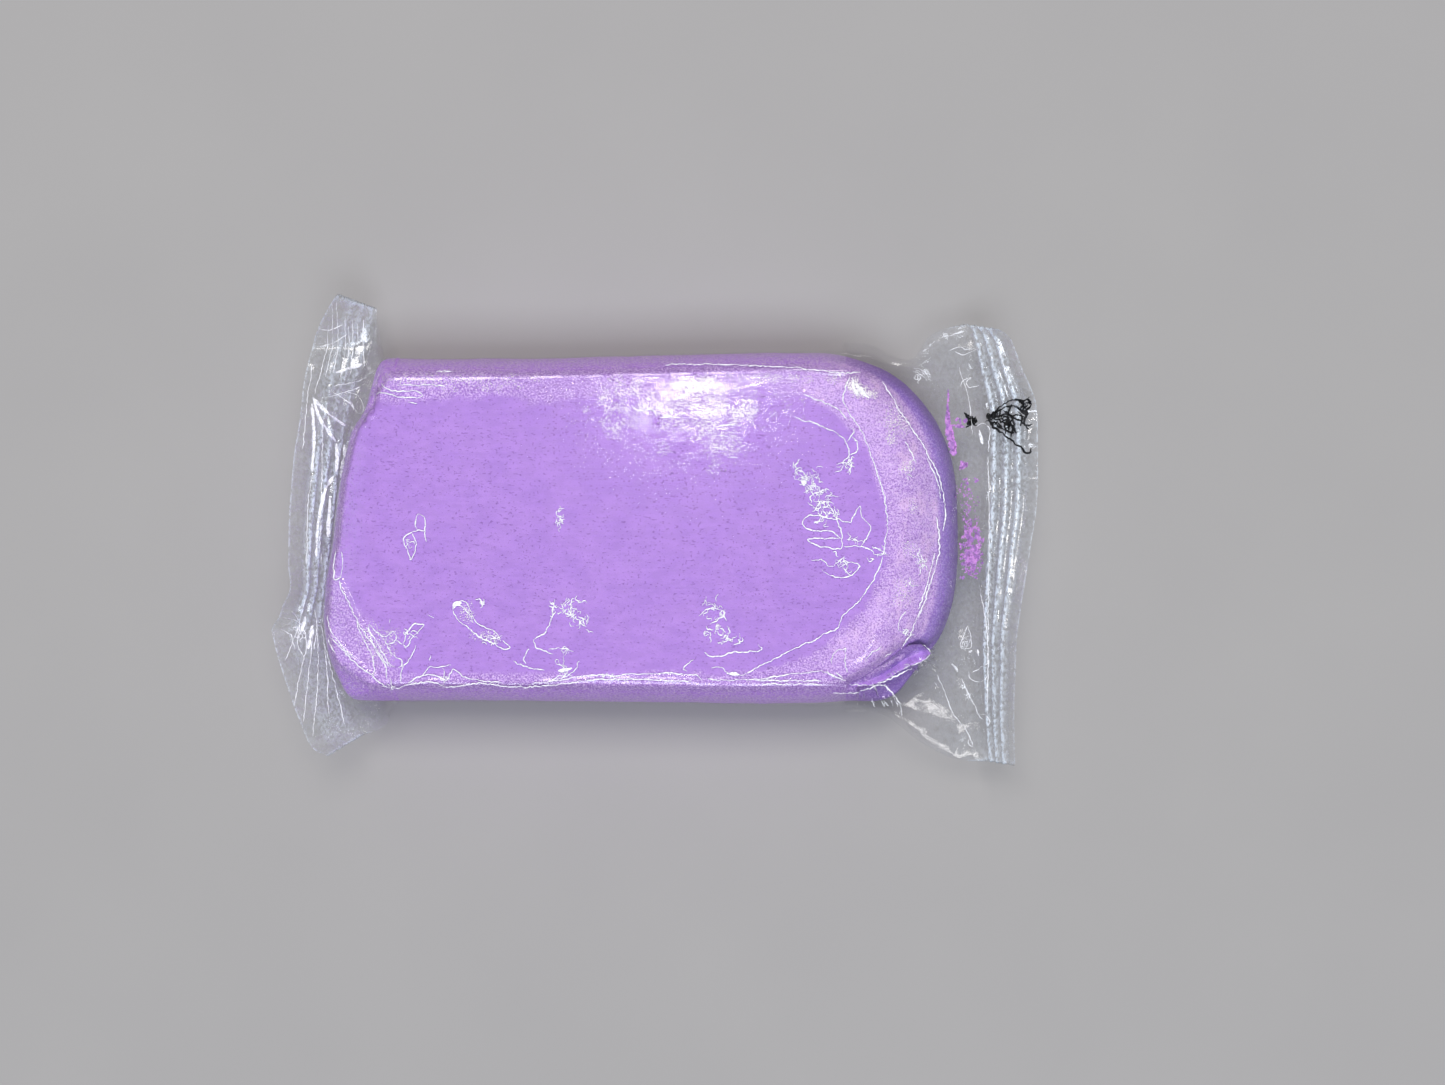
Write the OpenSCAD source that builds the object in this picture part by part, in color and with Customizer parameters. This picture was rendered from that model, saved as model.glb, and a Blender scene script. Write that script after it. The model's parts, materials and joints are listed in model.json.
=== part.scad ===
// A soft cake with one rounded end, sealed in a clear flow-wrap film.
// The film is one tube: a sleeve round the cake, a folded seam along its back,
// and at each end a closure that narrows to a crimped seal, which folds up and down.
// Millimetres. +X runs to the rounded end, +Z is up, and the origin is the middle
// of the face that the pack rests on.

/* [Cake] */
// Length of the cake along its centre line
cake_length = 90; // [76:1:104]
// Width of the cake
cake_width = 50; // [42:1:58]
// Thickness of the cake
cake_thickness = 16; // [13:1:19]
// Length of the rounded end
nose_length = 25; // [20:1:30]
// How far the top edge is rounded in at the rounded end
nose_shoulder = 9.5; // [6:0.5:11]
// How far the top edge is rounded in at the long sides
side_shoulder = 3.2; // [2:0.2:5]
// How far the top edge is rounded in at the cut end
tail_shoulder = 2.4; // [1:0.2:4]
// Skew of the cut end, in degrees
tail_skew = 11; // [6:1:13]

/* [Film wrapper] */
// Thickness of one ply of film
film_thickness = 0.12; // [0.08:0.02:0.2]
// Air gap between the film and the cake
film_gap = 0.08; // [0.06:0.02:0.2]
// Width of the film tube where it is pressed flat
flat_width = 66; // [62:1:74]
// Width of the back seam
seam_width = 10; // [6:1:14]

/* [End seals] */
// Distance from one crimp ridge to the next
crimp_pitch = 1.8; // [1.2:0.1:2.4]
// Number of crimp ridges
crimp_ridges = 3; // [2:1:4]
// Height of a crimp ridge, from valley to crest
crimp_depth = 0.5; // [0.2:0.1:0.8]
// Plain strip outside the left crimp, up to the cut edge
left_margin = 2.6; // [0.5:0.1:3]
// Plain strip outside the right crimp, up to the cut edge
right_margin = 1.5; // [0.5:0.1:3]
// Height of both seals above the resting face
seal_height = 5; // [4:0.5:7]
// Skew of the left seal, in degrees
left_skew = 8; // [4:1:13]
// Upward tilt of the left seal, in degrees
left_tilt = 50; // [20:1:70]
// Upward tilt of the right seal, in degrees
right_tilt = 12; // [0:1:60]

/* [Crumbs] */
// Number of loose crumbs inside the rounded end of the film
crumb_count = 12; // [0:1:14]
// Smallest crumb
crumb_min = 0.5; // [0.4:0.1:0.7]
// Largest crumb
crumb_max = 1.1; // [0.8:0.1:1.2]

/* [Hidden] */

lilac = [0.70, 0.52, 0.88];
clear_film = [0.85, 0.88, 0.92, 0.35];
sealed_film = [0.72, 0.76, 0.82, 0.55];

// Heights: the folded seam lies lowest, then one ply of film, then the cake.
seam_thickness = 2 * film_thickness;
cake_base = seam_thickness + film_thickness + film_gap;
belly = 0.34 * cake_thickness;      // height of the widest level above the cake's base
foot_inset = 1.2;                   // how far the bottom edge is rounded in
side_steps = 6;                     // levels from the belly up, and as many down
nose_steps = 20;
nose_power = 2.6;                   // 2 is an ellipse, and more is squarer
corner_radius = 2.5;
corner_steps = 3;

nose_start = cake_length / 2 - nose_length;
tail_x = -cake_length / 2;
tail_slope = tan(tail_skew);
tail_corner_y = 0.65;               // where the cut end turns in, as a share of half the width
tail_corner_in = 0.8;               // how far it has turned in at the long side

sleeve_start = tail_x + 8;
sleeve_end = nose_start + 8;
seam_end_room = 3;                  // the back seam stops this far inside each end of the cake

film_outside = film_gap + film_thickness;
slit_half_gap = 0.02;               // half the space between the two plies at a seal
slit_depth = 0.6;
slit_rim = 0.4;                     // film left closed round the end of each slit
hinge_gap = 0.35;                   // free film each side of a seal's fold line
left_hinge_x = tail_x - 1.6;
right_hinge_x = cake_length / 2 + 4;
left_shift = 0.8;                   // each seal sits a little to one side
right_shift = -1.9;

wave_steps = 8;                     // points along one crimp ridge
crimp_length = crimp_ridges * crimp_pitch;

// ---- the cake's form: rings of points, one above another ----

// Points that round off corner b between a and c.
function fillet(a, b, c, r) =
    let (p = b + r * (a - b) / norm(a - b), q = b + r * (c - b) / norm(c - b))
    [for (i = [0:corner_steps]) let (t = i / corner_steps)
        (1 - t) * (1 - t) * p + 2 * t * (1 - t) * b + t * t * q];

// The outline seen from above, moved in by each inset.
function outline(nose, side, tail) =
    let (
        half = cake_width / 2 - side,
        reach = nose_length - nose,
        x = tail_x + tail,
        top = [x + half * tail_slope, half],
        low = [x - tail_corner_y * half * tail_slope, -tail_corner_y * half],
        foot = [x + tail_corner_in, -half],
        power = 2 / nose_power
    )
    concat(
        [for (i = [0:nose_steps]) let (a = -90 + 180 * i / nose_steps)
            [nose_start + reach * pow(cos(a), power), half * sign(a) * pow(abs(sin(a)), power)]],
        fillet([nose_start, half], top, low, corner_radius),
        fillet(top, low, foot, corner_radius),
        fillet(low, foot, [nose_start, -half], corner_radius)
    );

// Share of the full inset, and height, at an angle from -90 (bottom) to 90 (top).
function inset_share(a) = 1 - cos(a);
function level_height(a, grow) = cake_base
    + belly + (a < 0 ? (belly + grow) * sin(a) : (cake_thickness - belly + grow) * sin(a));

function side_inset(a) = inset_share(a) * (a < 0 ? foot_inset : side_shoulder);

function ring(a, grow) =
    let (s = inset_share(a), low = a < 0)
    [for (p = outline(
            s * (low ? foot_inset : nose_shoulder) - grow,
            side_inset(a) - grow,
            s * (low ? foot_inset : tail_shoulder) - grow))
        [p[0], p[1], level_height(a, grow)]];

// The cake's whole form, made larger all round by grow.
module cake_form(grow = 0) {
    angles = [for (i = [-side_steps:side_steps]) 90 * i / side_steps];
    rings = [for (a = angles) ring(a, grow)];
    n = len(rings[0]);
    last = len(rings) - 1;
    polyhedron(
        points = [for (r = rings) each r],
        faces = concat(
            [[for (i = [0:n - 1]) i]],
            [for (k = [0:last - 1], i = [0:n - 1]) let (j = (i + 1) % n)
                each [[k * n + i, (k + 1) * n + i, (k + 1) * n + j],
                      [k * n + i, (k + 1) * n + j, k * n + j]]],
            [[for (i = [n - 1:-1:0]) last * n + i]]
        )
    );
}

// The cake's section across its width, which the sleeve follows.
function section(grow) =
    let (right = [for (i = [-side_steps:side_steps]) let (a = 90 * i / side_steps)
        [cake_width / 2 - side_inset(a) + grow, level_height(a, grow)]])
    concat(right, [for (i = [len(right) - 1:-1:0]) [-right[i][0], right[i][1]]]);

// ---- sub-parts ----

module cake() {
    color(lilac) cake_form();
}

// A length of the tube round the cake's section, filled.
module tube_form(start, length, grow) {
    translate([start, 0, 0])
        rotate([90, 0, 90])
            linear_extrude(length) polygon(section(grow));
}

module film_sleeve() {
    length = sleeve_end - sleeve_start;
    color(clear_film)
        difference() {
            tube_form(sleeve_start, length, film_outside);
            tube_form(sleeve_start - 1, length + 2, film_gap);
        }
}

module back_seam() {
    start = tail_x + seam_end_room;
    color(sealed_film)
        translate([start, -seam_width / 2, 0])
            cube([cake_length - 2 * seam_end_room, seam_width, seam_thickness]);
}

// The narrow end of a closure: a flat slit, a little inside the fold line.
module slit(half_width, half_height, inside, depth) {
    translate([-inside - depth, -half_width, seal_height - half_height])
        cube([depth, 2 * half_width, 2 * half_height]);
}

// Places what is drawn round an outward +X fold line at each end.
module at_right_fold() {
    translate([right_hinge_x, right_shift, 0]) children();
}

module at_left_fold() {
    translate([left_hinge_x + left_shift * tan(left_skew), left_shift, 0])
        rotate([0, 0, 180 - left_skew]) children();
}

// One end of the tube, filled: the sleeve's section, round the cake, drawn in to the slit.
module closure_form(right, grow, half_width, half_height, inside) {
    hair = 0.01;
    hull() {
        tube_form(right ? sleeve_end : sleeve_start - hair, hair, grow);
        intersection() {
            cake_form(grow);
            translate([right ? sleeve_end : sleeve_start - cake_length, -cake_width, -cake_thickness])
                cube([cake_length, 2 * cake_width, 4 * cake_thickness]);
        }
        if (right) at_right_fold() slit(half_width, half_height, inside, slit_depth);
        else at_left_fold() slit(half_width, half_height, inside, slit_depth);
    }
}

// The film from the sleeve to the seal, closed at the seal and open to the sleeve.
module end_film(right) {
    mouth = 0.02;
    color(clear_film)
        difference() {
            closure_form(right, film_outside, flat_width / 2,
                slit_half_gap + film_thickness, 0);
            closure_form(right, film_gap, flat_width / 2 - slit_rim,
                slit_half_gap, slit_rim);
            tube_form((right ? sleeve_end : sleeve_start) - mouth / 2, mouth, film_gap);
        }
}

// The crimped seal, from the fold line outwards: a plain root, a wave, a plain margin.
module seal_strip(margin) {
    root = 2 * hinge_gap;
    steps = crimp_ridges * wave_steps;
    line = concat(
        [[hinge_gap, 0]],
        [for (i = [0:steps]) let (s = i * crimp_length / steps)
            [root + s, crimp_depth / 2 * sin(360 * s / crimp_pitch)]],
        [[root + crimp_length + margin, 0]]
    );
    profile = concat(
        [for (p = line) p + [0, film_thickness]],
        [for (i = [len(line) - 1:-1:0]) line[i] - [0, film_thickness]]
    );
    rotate([90, 0, 0])
        linear_extrude(flat_width, center = true) polygon(profile);
}

module left_end_seal() {
    color(sealed_film)
        at_left_fold() translate([0, 0, seal_height]) rotate([0, -left_tilt, 0]) seal_strip(left_margin);
}

module right_end_seal() {
    color(sealed_film)
        at_right_fold() translate([0, 0, seal_height]) rotate([0, -right_tilt, 0]) seal_strip(right_margin);
}

// Crumbs lie on the film that rises from the cake's foot to the right seal.
module cake_crumbs() {
    foot_x = cake_length / 2 - foot_inset;
    rise = (seal_height - cake_base) / (right_hinge_x - foot_x);
    near = 1.6;                     // how far from the fold line the crumbs lie, at least
    far = 2.8;                      // and at most
    kinds = rands(0, 1, 4 * crumb_count + 4, 7);
    color(lilac)
        for (i = [0:crumb_count - 1]) {
            size = crumb_min + (crumb_max - crumb_min) * kinds[4 * i];
            x = right_hinge_x - near - (far - near) * kinds[4 * i + 1];
            y = -9 + 26 * (i + 0.3 * kinds[4 * i + 2]) / crumb_count;
            translate([x, y, cake_base + rise * (x - foot_x) + size])
                rotate([70 * kinds[4 * i + 3], 40, 90 * kinds[4 * i + 2]])
                    cylinder(h = 0.8 * size, r = size / 2, $fn = 5, center = true);
        }
}

cake();
cake_crumbs();
film_sleeve();
back_seam();
end_film(false);  // left_end_film
left_end_seal();
end_film(true);  // right_end_film
right_end_seal();
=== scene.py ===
"""A soft clay cake in a clear flow-wrap film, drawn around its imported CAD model.

Shapes are worked out in millimetres in the part's own frame: X runs from the cut end to the rounded
end, called the nose, and Z is up. They are turned into metres when a mesh is made.
"""

import itertools
import json
import math

import bpy
import numpy as np
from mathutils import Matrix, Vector
from mathutils.bvhtree import BVHTree


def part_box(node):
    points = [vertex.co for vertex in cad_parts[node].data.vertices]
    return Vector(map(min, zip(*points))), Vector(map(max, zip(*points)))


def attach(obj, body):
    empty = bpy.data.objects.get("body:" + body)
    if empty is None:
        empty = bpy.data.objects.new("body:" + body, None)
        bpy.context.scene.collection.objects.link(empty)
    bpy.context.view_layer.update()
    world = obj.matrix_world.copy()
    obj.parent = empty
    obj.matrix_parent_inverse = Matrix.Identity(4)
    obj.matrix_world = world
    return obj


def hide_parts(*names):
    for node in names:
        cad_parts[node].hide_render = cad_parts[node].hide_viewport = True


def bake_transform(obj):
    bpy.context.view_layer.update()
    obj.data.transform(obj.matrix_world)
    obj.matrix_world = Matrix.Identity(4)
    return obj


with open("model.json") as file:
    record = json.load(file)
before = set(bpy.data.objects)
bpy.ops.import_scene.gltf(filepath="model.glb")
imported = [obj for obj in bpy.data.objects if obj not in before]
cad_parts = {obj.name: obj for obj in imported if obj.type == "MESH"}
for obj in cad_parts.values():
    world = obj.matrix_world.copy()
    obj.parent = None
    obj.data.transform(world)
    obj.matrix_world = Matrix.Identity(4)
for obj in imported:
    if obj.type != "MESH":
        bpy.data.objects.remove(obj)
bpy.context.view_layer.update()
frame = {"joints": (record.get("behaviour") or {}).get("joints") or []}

MM = 0.001


def millimetres(node):
    """The lowest and highest corners of a CAD node, in millimetres."""
    low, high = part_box(node)
    return np.array(low) / MM, np.array(high) / MM


CAKE_LOW, CAKE_HIGH = millimetres("cake")
SEAM_LOW, SEAM_HIGH = millimetres("back_seam")
JOINTS = {j["name"]: j for j in frame["joints"]}

# The cake, in millimetres.
TOP = CAKE_HIGH[2]
BASE = CAKE_LOW[2]
HALF_WIDTH = CAKE_HIGH[1]
NOSE_TIP = CAKE_HIGH[0]
NOSE_START = NOSE_TIP - 25.0
NOSE_POWER = 2.6
NOSE_WALL = 3.2
NOSE_BEVEL = 11.5
NOSE_CREASE = 12.6
TAIL_X = -NOSE_TIP
BELLY = BASE + 0.34 * (TOP - BASE)
SIDE_POWER = 1.38
SIDE_INSET = 3.2
FOOT_INSET = 1.2
TAIL_INSET = 2.0

# The film, in millimetres.
FILM_GAP = 0.22
FILM_BASE = SEAM_HIGH[2] + 0.03
FOLD_HEIGHT = 7.0
PLY = 0.06
CRIMP_PITCH = 1.8
CRIMP_RIDGES = 3
CRIMP_HEIGHT = 0.5
SEAL_ROOT = 0.7
LEFT_HINGE = np.array(JOINTS["left_seal_fold"]["pos_m"]) / MM
RIGHT_HINGE = np.array(JOINTS["right_seal_fold"]["pos_m"]) / MM
LEFT_SKEW = math.radians(8)
LEFT_OUT = np.array([-math.cos(LEFT_SKEW), math.sin(LEFT_SKEW), 0])
RIGHT_OUT = np.array([1.0, 0, 0])

# Where the sleeve ends and each closure begins, along X.
LEFT_CUT = TAIL_X + 8
RIGHT_CUT = NOSE_START + 8
# Each seal from its root to its cut edge: a plain root, the crimps and a plain margin.
CRIMPED_RUN = CRIMP_RIDGES * CRIMP_PITCH
LEFT_LENGTH = SEAL_ROOT + CRIMPED_RUN + 2.6
RIGHT_LENGTH = SEAL_ROOT + CRIMPED_RUN + 1.5

# How finely the film is drawn.
SLEEVE_ROWS = 170
LEFT_ROWS = 34
RIGHT_ROWS = 64
SEAL_ROWS = 36
HALF_COLUMNS = 78

# Film that comes nearer to the clay than NEAREST is moved out to CLEAR.
NEAREST = 0.12
CLEAR = 0.14

# Rays for heights start this far above or below.
RAY_START = 60


# ---------------------------------------------------------------- small tools


def smooth(x, low=0.0, high=1.0):
    """0 below low, 1 above high, and a smooth rise between."""
    t = np.clip((np.asarray(x, float) - low) / (high - low), 0, 1)
    return t * t * (3 - 2 * t)


# Numbers that scatter the noise: none of them has a meaning of its own.
SEED_SHIFT = 13.7
SEED_TURN = 0.37
SCATTER = np.array([127.1, 311.7, 74.7])
SCATTER_GAIN = 43758.5453


def noise(points, scale, seed):
    """Smooth noise from -1 to 1 at each point. scale is the size of one wave, for each axis."""
    p = np.asarray(points, float) / np.asarray(scale, float) + SEED_SHIFT * seed
    cell = np.floor(p)
    w = p - cell
    w = w * w * (3 - 2 * w)
    weights = SCATTER[: p.shape[1]]
    total = np.zeros(len(p))
    for corner in itertools.product((0, 1), repeat=p.shape[1]):
        c = np.array(corner)
        share = np.prod(np.where(c == 1, w, 1 - w), axis=1)
        value = np.sin((cell + c) @ weights + SEED_TURN * seed) * SCATTER_GAIN
        total += share * (value - np.floor(value))
    return 2 * total - 1


def ridged(points, scale, seed):
    """Noise with sharp crests: 1 on a crest and 0 far from it."""
    return np.clip(1 - 2.2 * np.abs(noise(points, scale, seed)), 0, 1) ** 2


def curve(values, knots, at):
    """A smooth curve through points at knots, read at the places in at."""
    values = np.asarray(values, float).reshape(len(knots), -1)
    knots = np.asarray(knots, float)
    slopes = np.gradient(values, knots, axis=0)
    at = np.clip(at, knots[0], knots[-1])
    i = np.clip(np.searchsorted(knots, at, side="right") - 1, 0, len(knots) - 2)
    step = (knots[i + 1] - knots[i])[:, None]
    t = ((at - knots[i]) / (knots[i + 1] - knots[i]))[:, None]
    return (
        (1 + 2 * t) * (1 - t) ** 2 * values[i]
        + t * (1 - t) ** 2 * step * slopes[i]
        + t * t * (3 - 2 * t) * values[i + 1]
        + t * t * (t - 1) * step * slopes[i + 1]
    )


def make_mesh(name, points, faces, material, smooth_faces=True):
    """An object from points in millimetres."""
    mesh = bpy.data.meshes.new(name)
    mesh.from_pydata((np.asarray(points, float) * MM).tolist(), [], faces)
    mesh.update()
    mesh.polygons.foreach_set("use_smooth", [smooth_faces] * len(mesh.polygons))
    obj = bpy.data.objects.new(name, mesh)
    bpy.context.scene.collection.objects.link(obj)
    mesh.materials.append(material)
    return obj


def grid_faces(rows, columns, closed=False):
    """Quads of a grid whose points run row by row. closed joins the last column to the first."""
    across = columns if closed else columns - 1
    faces = []
    for r in range(rows - 1):
        for c in range(across):
            d = (c + 1) % columns
            near, far = r * columns, (r + 1) * columns
            faces.append((near + c, near + d, far + d, far + c))
    return faces


def joined(parts):
    """The points and faces of many parts as those of one."""
    points, faces = [], []
    count = 0
    for part, part_faces in parts:
        points.append(part)
        faces += [tuple(count + i for i in f) for f in part_faces]
        count += len(part)
    return np.concatenate(points), faces


def paint(obj, name, values):
    """A number for each point of obj, for its material to read."""
    layer = obj.data.attributes.new(name, "FLOAT", "POINT")
    layer.data.foreach_set("value", np.asarray(values, np.float32))


def tree_of(points, faces):
    """A surface that rays can hit."""
    return BVHTree.FromPolygons([Vector(p) for p in points], faces)


# ------------------------------------------------------------------ materials


class Nodes:
    """A material's nodes, made and joined in short lines."""

    def __init__(self, name):
        self.material = bpy.data.materials.new(name)
        self.material.use_nodes = True
        self.tree = self.material.node_tree
        self.tree.nodes.clear()

    def add(self, kind, inputs=None, **settings):
        """A node with its settings, and a value or a link for each of inputs."""
        node = self.tree.nodes.new(kind)
        for key, value in settings.items():
            setattr(node, key, value)
        for key, value in (inputs or {}).items():
            self.put(node.inputs[key], value)
        return node

    def put(self, socket, value):
        if isinstance(value, bpy.types.NodeSocket):
            self.tree.links.new(value, socket)
        else:
            socket.default_value = value

    def math(self, operation, a, b=0.0, clamp=False):
        node = self.add("ShaderNodeMath", operation=operation, use_clamp=clamp)
        self.put(node.inputs[0], a)
        self.put(node.inputs[1], b)
        return node.outputs[0]

    def place(self, scale, turn=0.0):
        """The point on the surface, in metres, times scale for each axis."""
        coords = self.add("ShaderNodeTexCoord").outputs["Object"]
        mapping = self.add("ShaderNodeMapping", {"Vector": coords, "Scale": scale})
        mapping.inputs["Rotation"].default_value = (0, 0, turn)
        return mapping.outputs[0]

    def noise(self, scale, detail=2.0, roughness=0.5, turn=0.0):
        """Noise with scale waves to the metre along each axis."""
        place = self.place(scale, turn)
        inputs = {"Vector": place, "Scale": 1.0, "Detail": detail, "Roughness": roughness}
        return self.add("ShaderNodeTexNoise", inputs).outputs["Fac"]

    def ramp(self, value, low, high, out_low=0.0, out_high=1.0):
        """out_low where value is below low, out_high above high, and a smooth change between."""
        ends = {"From Min": low, "From Max": high, "To Min": out_low, "To Max": out_high}
        inputs = {"Value": value, **ends}
        return self.add("ShaderNodeMapRange", inputs, interpolation_type="SMOOTHSTEP").outputs[0]

    def colour(self, factor, a, b):
        """Colour a where factor is 0, b where it is 1."""
        node = self.add("ShaderNodeMix", data_type="RGBA")
        self.put(node.inputs[0], factor)
        self.put(node.inputs[6], a)
        self.put(node.inputs[7], b)
        return node.outputs[2]

    def attribute(self, name):
        """A number painted on the mesh by paint()."""
        return self.add("ShaderNodeAttribute", attribute_name=name).outputs["Fac"]

    def bump(self, height, strength, distance):
        inputs = {"Height": height, "Strength": strength, "Distance": distance}
        return self.add("ShaderNodeBump", inputs).outputs[0]

    def finish(self, shader):
        out = self.add("ShaderNodeOutputMaterial")
        self.tree.links.new(shader, out.inputs["Surface"])
        return self.material


WET_CLAY = (0.515, 0.284, 0.780, 1)
DRY_CLAY = (0.500, 0.278, 0.748, 1)
# Painted light and shade on the clay: the bevel's paler tone and mottle, the sides' brighter tone, the
# wall's shade and its dimmer grain.
BEVEL_LIGHT_CLAY = (0.700, 0.450, 0.900, 1)
SIDE_LIGHT_CLAY = (0.600, 0.250, 1.000, 1)
WALL_SHADE_CLAY = (0.250, 0.152, 0.510, 1)
FLECK = (0.26, 0.12, 0.44, 1)
BEVEL_LIGHT_MOTTLE = (0.90, 0.62, 0.95, 1)
LIT_GRAIN = (0.84, 0.62, 0.98, 1)
SHADED_WALL_GRAIN = (0.44, 0.29, 0.68, 1)
DEEP_GRAIN = (0.28, 0.13, 0.50, 1)
WET_PATCH = (0.48, 0.262, 0.755, 1)
WET_STREAK = (0.56, 0.32, 0.83, 1)
WET_GRAIN = (0.42, 0.215, 0.70, 1)
# Painted light and shade for the clay smear: a lit tone, a shaded tone and a shadow tone.
SMEAR_LIT = (0.74, 0.30, 0.84, 1)
SMEAR_SHADE = (0.42, 0.17, 0.58, 1)
SMEAR_SHADOW = (0.22, 0.08, 0.32, 1)


def clay_material():
    """Lilac clay: deeper where film clings, paler and grainy where air lies between; light and shade
    painted on the nose and sides.
    """
    n = Nodes("lilac_clay")
    patch = n.noise((260, 260, 260), 3)
    streak = n.noise((90, 2600, 2600), 2)
    grain = n.noise((4200, 4200, 4200), 2, 0.8)
    mottle = n.noise((420, 300, 420), 3, 0.6)
    fleck = n.noise((1400, 4000, 4000), 1)
    spot = n.noise((2900, 2900, 2900), 0)
    wet = n.colour(n.ramp(patch, 0.35, 0.65), WET_CLAY, WET_PATCH)
    wet = n.colour(n.ramp(streak, 0.45, 0.75, 0, 0.30), wet, WET_STREAK)
    wet = n.colour(n.ramp(grain, 0.34, 0.50, 0.35, 0), wet, WET_GRAIN)
    # The nose's bevel is painted paler, with paler mottles: painted light on a face that slopes away
    # from the lamps.
    air = n.colour(n.attribute("pale"), DRY_CLAY, BEVEL_LIGHT_CLAY)
    bevel_light_mottle = n.math("MULTIPLY", n.attribute("pale"), n.ramp(mottle, 0.50, 0.66))
    air = n.colour(bevel_light_mottle, air, BEVEL_LIGHT_MOTTLE)
    # The sides just below the top edge are painted a brighter, bluer violet: painted light that
    # brightens the steep sides.
    air = n.colour(n.attribute("strip"), air, SIDE_LIGHT_CLAY)
    # The nose wall and the curled lip's inner half are painted darker: painted shade where light from
    # above falls off.
    air = n.colour(n.math("MULTIPLY", n.attribute("wall"), 0.9), air, WALL_SHADE_CLAY)
    lit = n.colour(n.attribute("wall"), LIT_GRAIN, SHADED_WALL_GRAIN)
    air = n.colour(n.ramp(grain, 0.50, 0.60), air, lit)
    calm = n.ramp(n.attribute("strip"), 0, 1, 1, 0.45)
    deep = n.math("MULTIPLY", n.ramp(grain, 0.48, 0.38, 0, 0.65), calm)
    air = n.colour(deep, air, DEEP_GRAIN)
    base = n.colour(n.attribute("dry"), wet, air)
    base = n.colour(n.ramp(fleck, 0.65, 0.71, 0, 0.52), base, FLECK)
    base = n.colour(n.ramp(spot, 0.71, 0.77, 0, 0.55), base, FLECK)
    height = n.math("ADD", n.math("MULTIPLY", grain, 0.6), n.math("MULTIPLY", streak, 0.5))
    shader = n.add(
        "ShaderNodeBsdfPrincipled",
        {
            "Base Color": base,
            "Roughness": n.ramp(grain, 0.3, 0.7, 0.50, 0.75),
            "Specular IOR Level": 0.35,
            "Normal": n.bump(height, 0.5, 0.00012),
            "Subsurface Weight": 0.06,
            "Subsurface Radius": (0.8, 0.5, 1.0),
            "Subsurface Scale": 0.001,
        },
    )
    return n.finish(shader.outputs[0])


def film_material():
    """Clear film: see-through, with a gloss that grows at a slant, matte frost where it is crimped, and
    painted glints and glare in white.
    """
    n = Nodes("clear_film")
    wrinkle = n.noise((260, 330, 260), 3, 0.5, 0.3)
    dimple = n.noise((4200, 4200, 4200), 1)
    height = n.math("ADD", n.math("MULTIPLY", wrinkle, 0.15), n.math("MULTIPLY", dimple, 0.17))
    normal = n.bump(height, 0.4, 0.0001)
    frost = n.noise((2800, 1700, 2800), 2, 0.7)
    clear = n.add("ShaderNodeBsdfTransparent", {"Color": (0.975, 0.975, 0.98, 1)})
    mirror = n.add("ShaderNodeBsdfGlossy", {"Color": (1, 1, 1, 1), "Roughness": 0.09, "Normal": normal})
    cloud = n.add("ShaderNodeBsdfDiffuse", {"Color": (0.84, 0.92, 1.0, 1), "Normal": normal})
    slant = n.add("ShaderNodeLayerWeight", {"Blend": 0.5, "Normal": normal}).outputs["Facing"]
    contact = n.ramp(n.noise((360, 800, 360), 3, 0.7), 0.42, 0.58, 0.008, 0.060)
    shine = n.math("ADD", n.math("MULTIPLY", n.math("POWER", slant, 5.0), 0.7), contact, clamp=True)
    # Haze: real frost on the crimps and the seam, with painted glints on crimp flanks and along the
    # edges.
    haze_and_glint_share = n.math("MULTIPLY", n.attribute("haze_and_glint"), n.ramp(frost, 0.42, 0.57, 0.12, 0.95), clamp=True)
    # Painted glare: white diffuse dots stand in for light glinting off the film.
    grain = n.noise((4400, 5400, 4400), 2, 0.8)
    grainy = n.math("ADD", grain, n.math("MULTIPLY", n.attribute("painted_glare"), 0.19))
    glare_specks = n.math("MULTIPLY", n.ramp(grainy, 0.59, 0.69), n.ramp(n.attribute("painted_glare"), 0.0, 0.2))
    painted_glint_white = n.add("ShaderNodeBsdfDiffuse", {"Color": (1.0, 0.93, 0.99, 1), "Normal": normal})
    lower = n.add("ShaderNodeMixShader", {0: haze_and_glint_share, 1: clear.outputs[0], 2: cloud.outputs[0]})
    lower = n.add("ShaderNodeMixShader", {0: glare_specks, 1: lower.outputs[0], 2: painted_glint_white.outputs[0]})
    both = n.add("ShaderNodeMixShader", {0: shine, 1: lower.outputs[0], 2: mirror.outputs[0]})
    return n.finish(both.outputs[0])


def glint_material():
    """A painted highlight: the thin white line where film folds or lifts off the clay, standing in for
    light glinting there.
    """
    n = Nodes("painted_fold_glint")
    broken = n.noise((2400, 2400, 2400), 2)
    strength = n.ramp(broken, 0.32, 0.52, 0.5, 1.0)
    clear = n.add("ShaderNodeBsdfTransparent", {"Color": (1, 1, 1, 1)})
    bright = n.add(
        "ShaderNodeBsdfPrincipled",
        {"Base Color": (0.95, 0.96, 1.0, 1), "Roughness": 0.3, "Specular IOR Level": 1.0},
    )
    both = n.add("ShaderNodeMixShader", {0: strength, 1: clear.outputs[0], 2: bright.outputs[0]})
    return n.finish(both.outputs[0])


def smear_material():
    """Thin clay rubbed between the plies, with painted light and shade: lit, shaded and shadow tones
    laid by noise.
    """
    n = Nodes("clay_smear")
    tone = n.colour(n.ramp(n.noise((1400, 1400, 1400), 2), 0.4, 0.6), SMEAR_LIT, SMEAR_SHADE)
    tone = n.colour(n.ramp(n.noise((2100, 2100, 2100), 1), 0.55, 0.68, 0, 0.8), tone, SMEAR_SHADOW)
    shader = n.add("ShaderNodeBsdfPrincipled", {"Base Color": tone, "Roughness": 0.6})
    return n.finish(shader.outputs[0])


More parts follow.
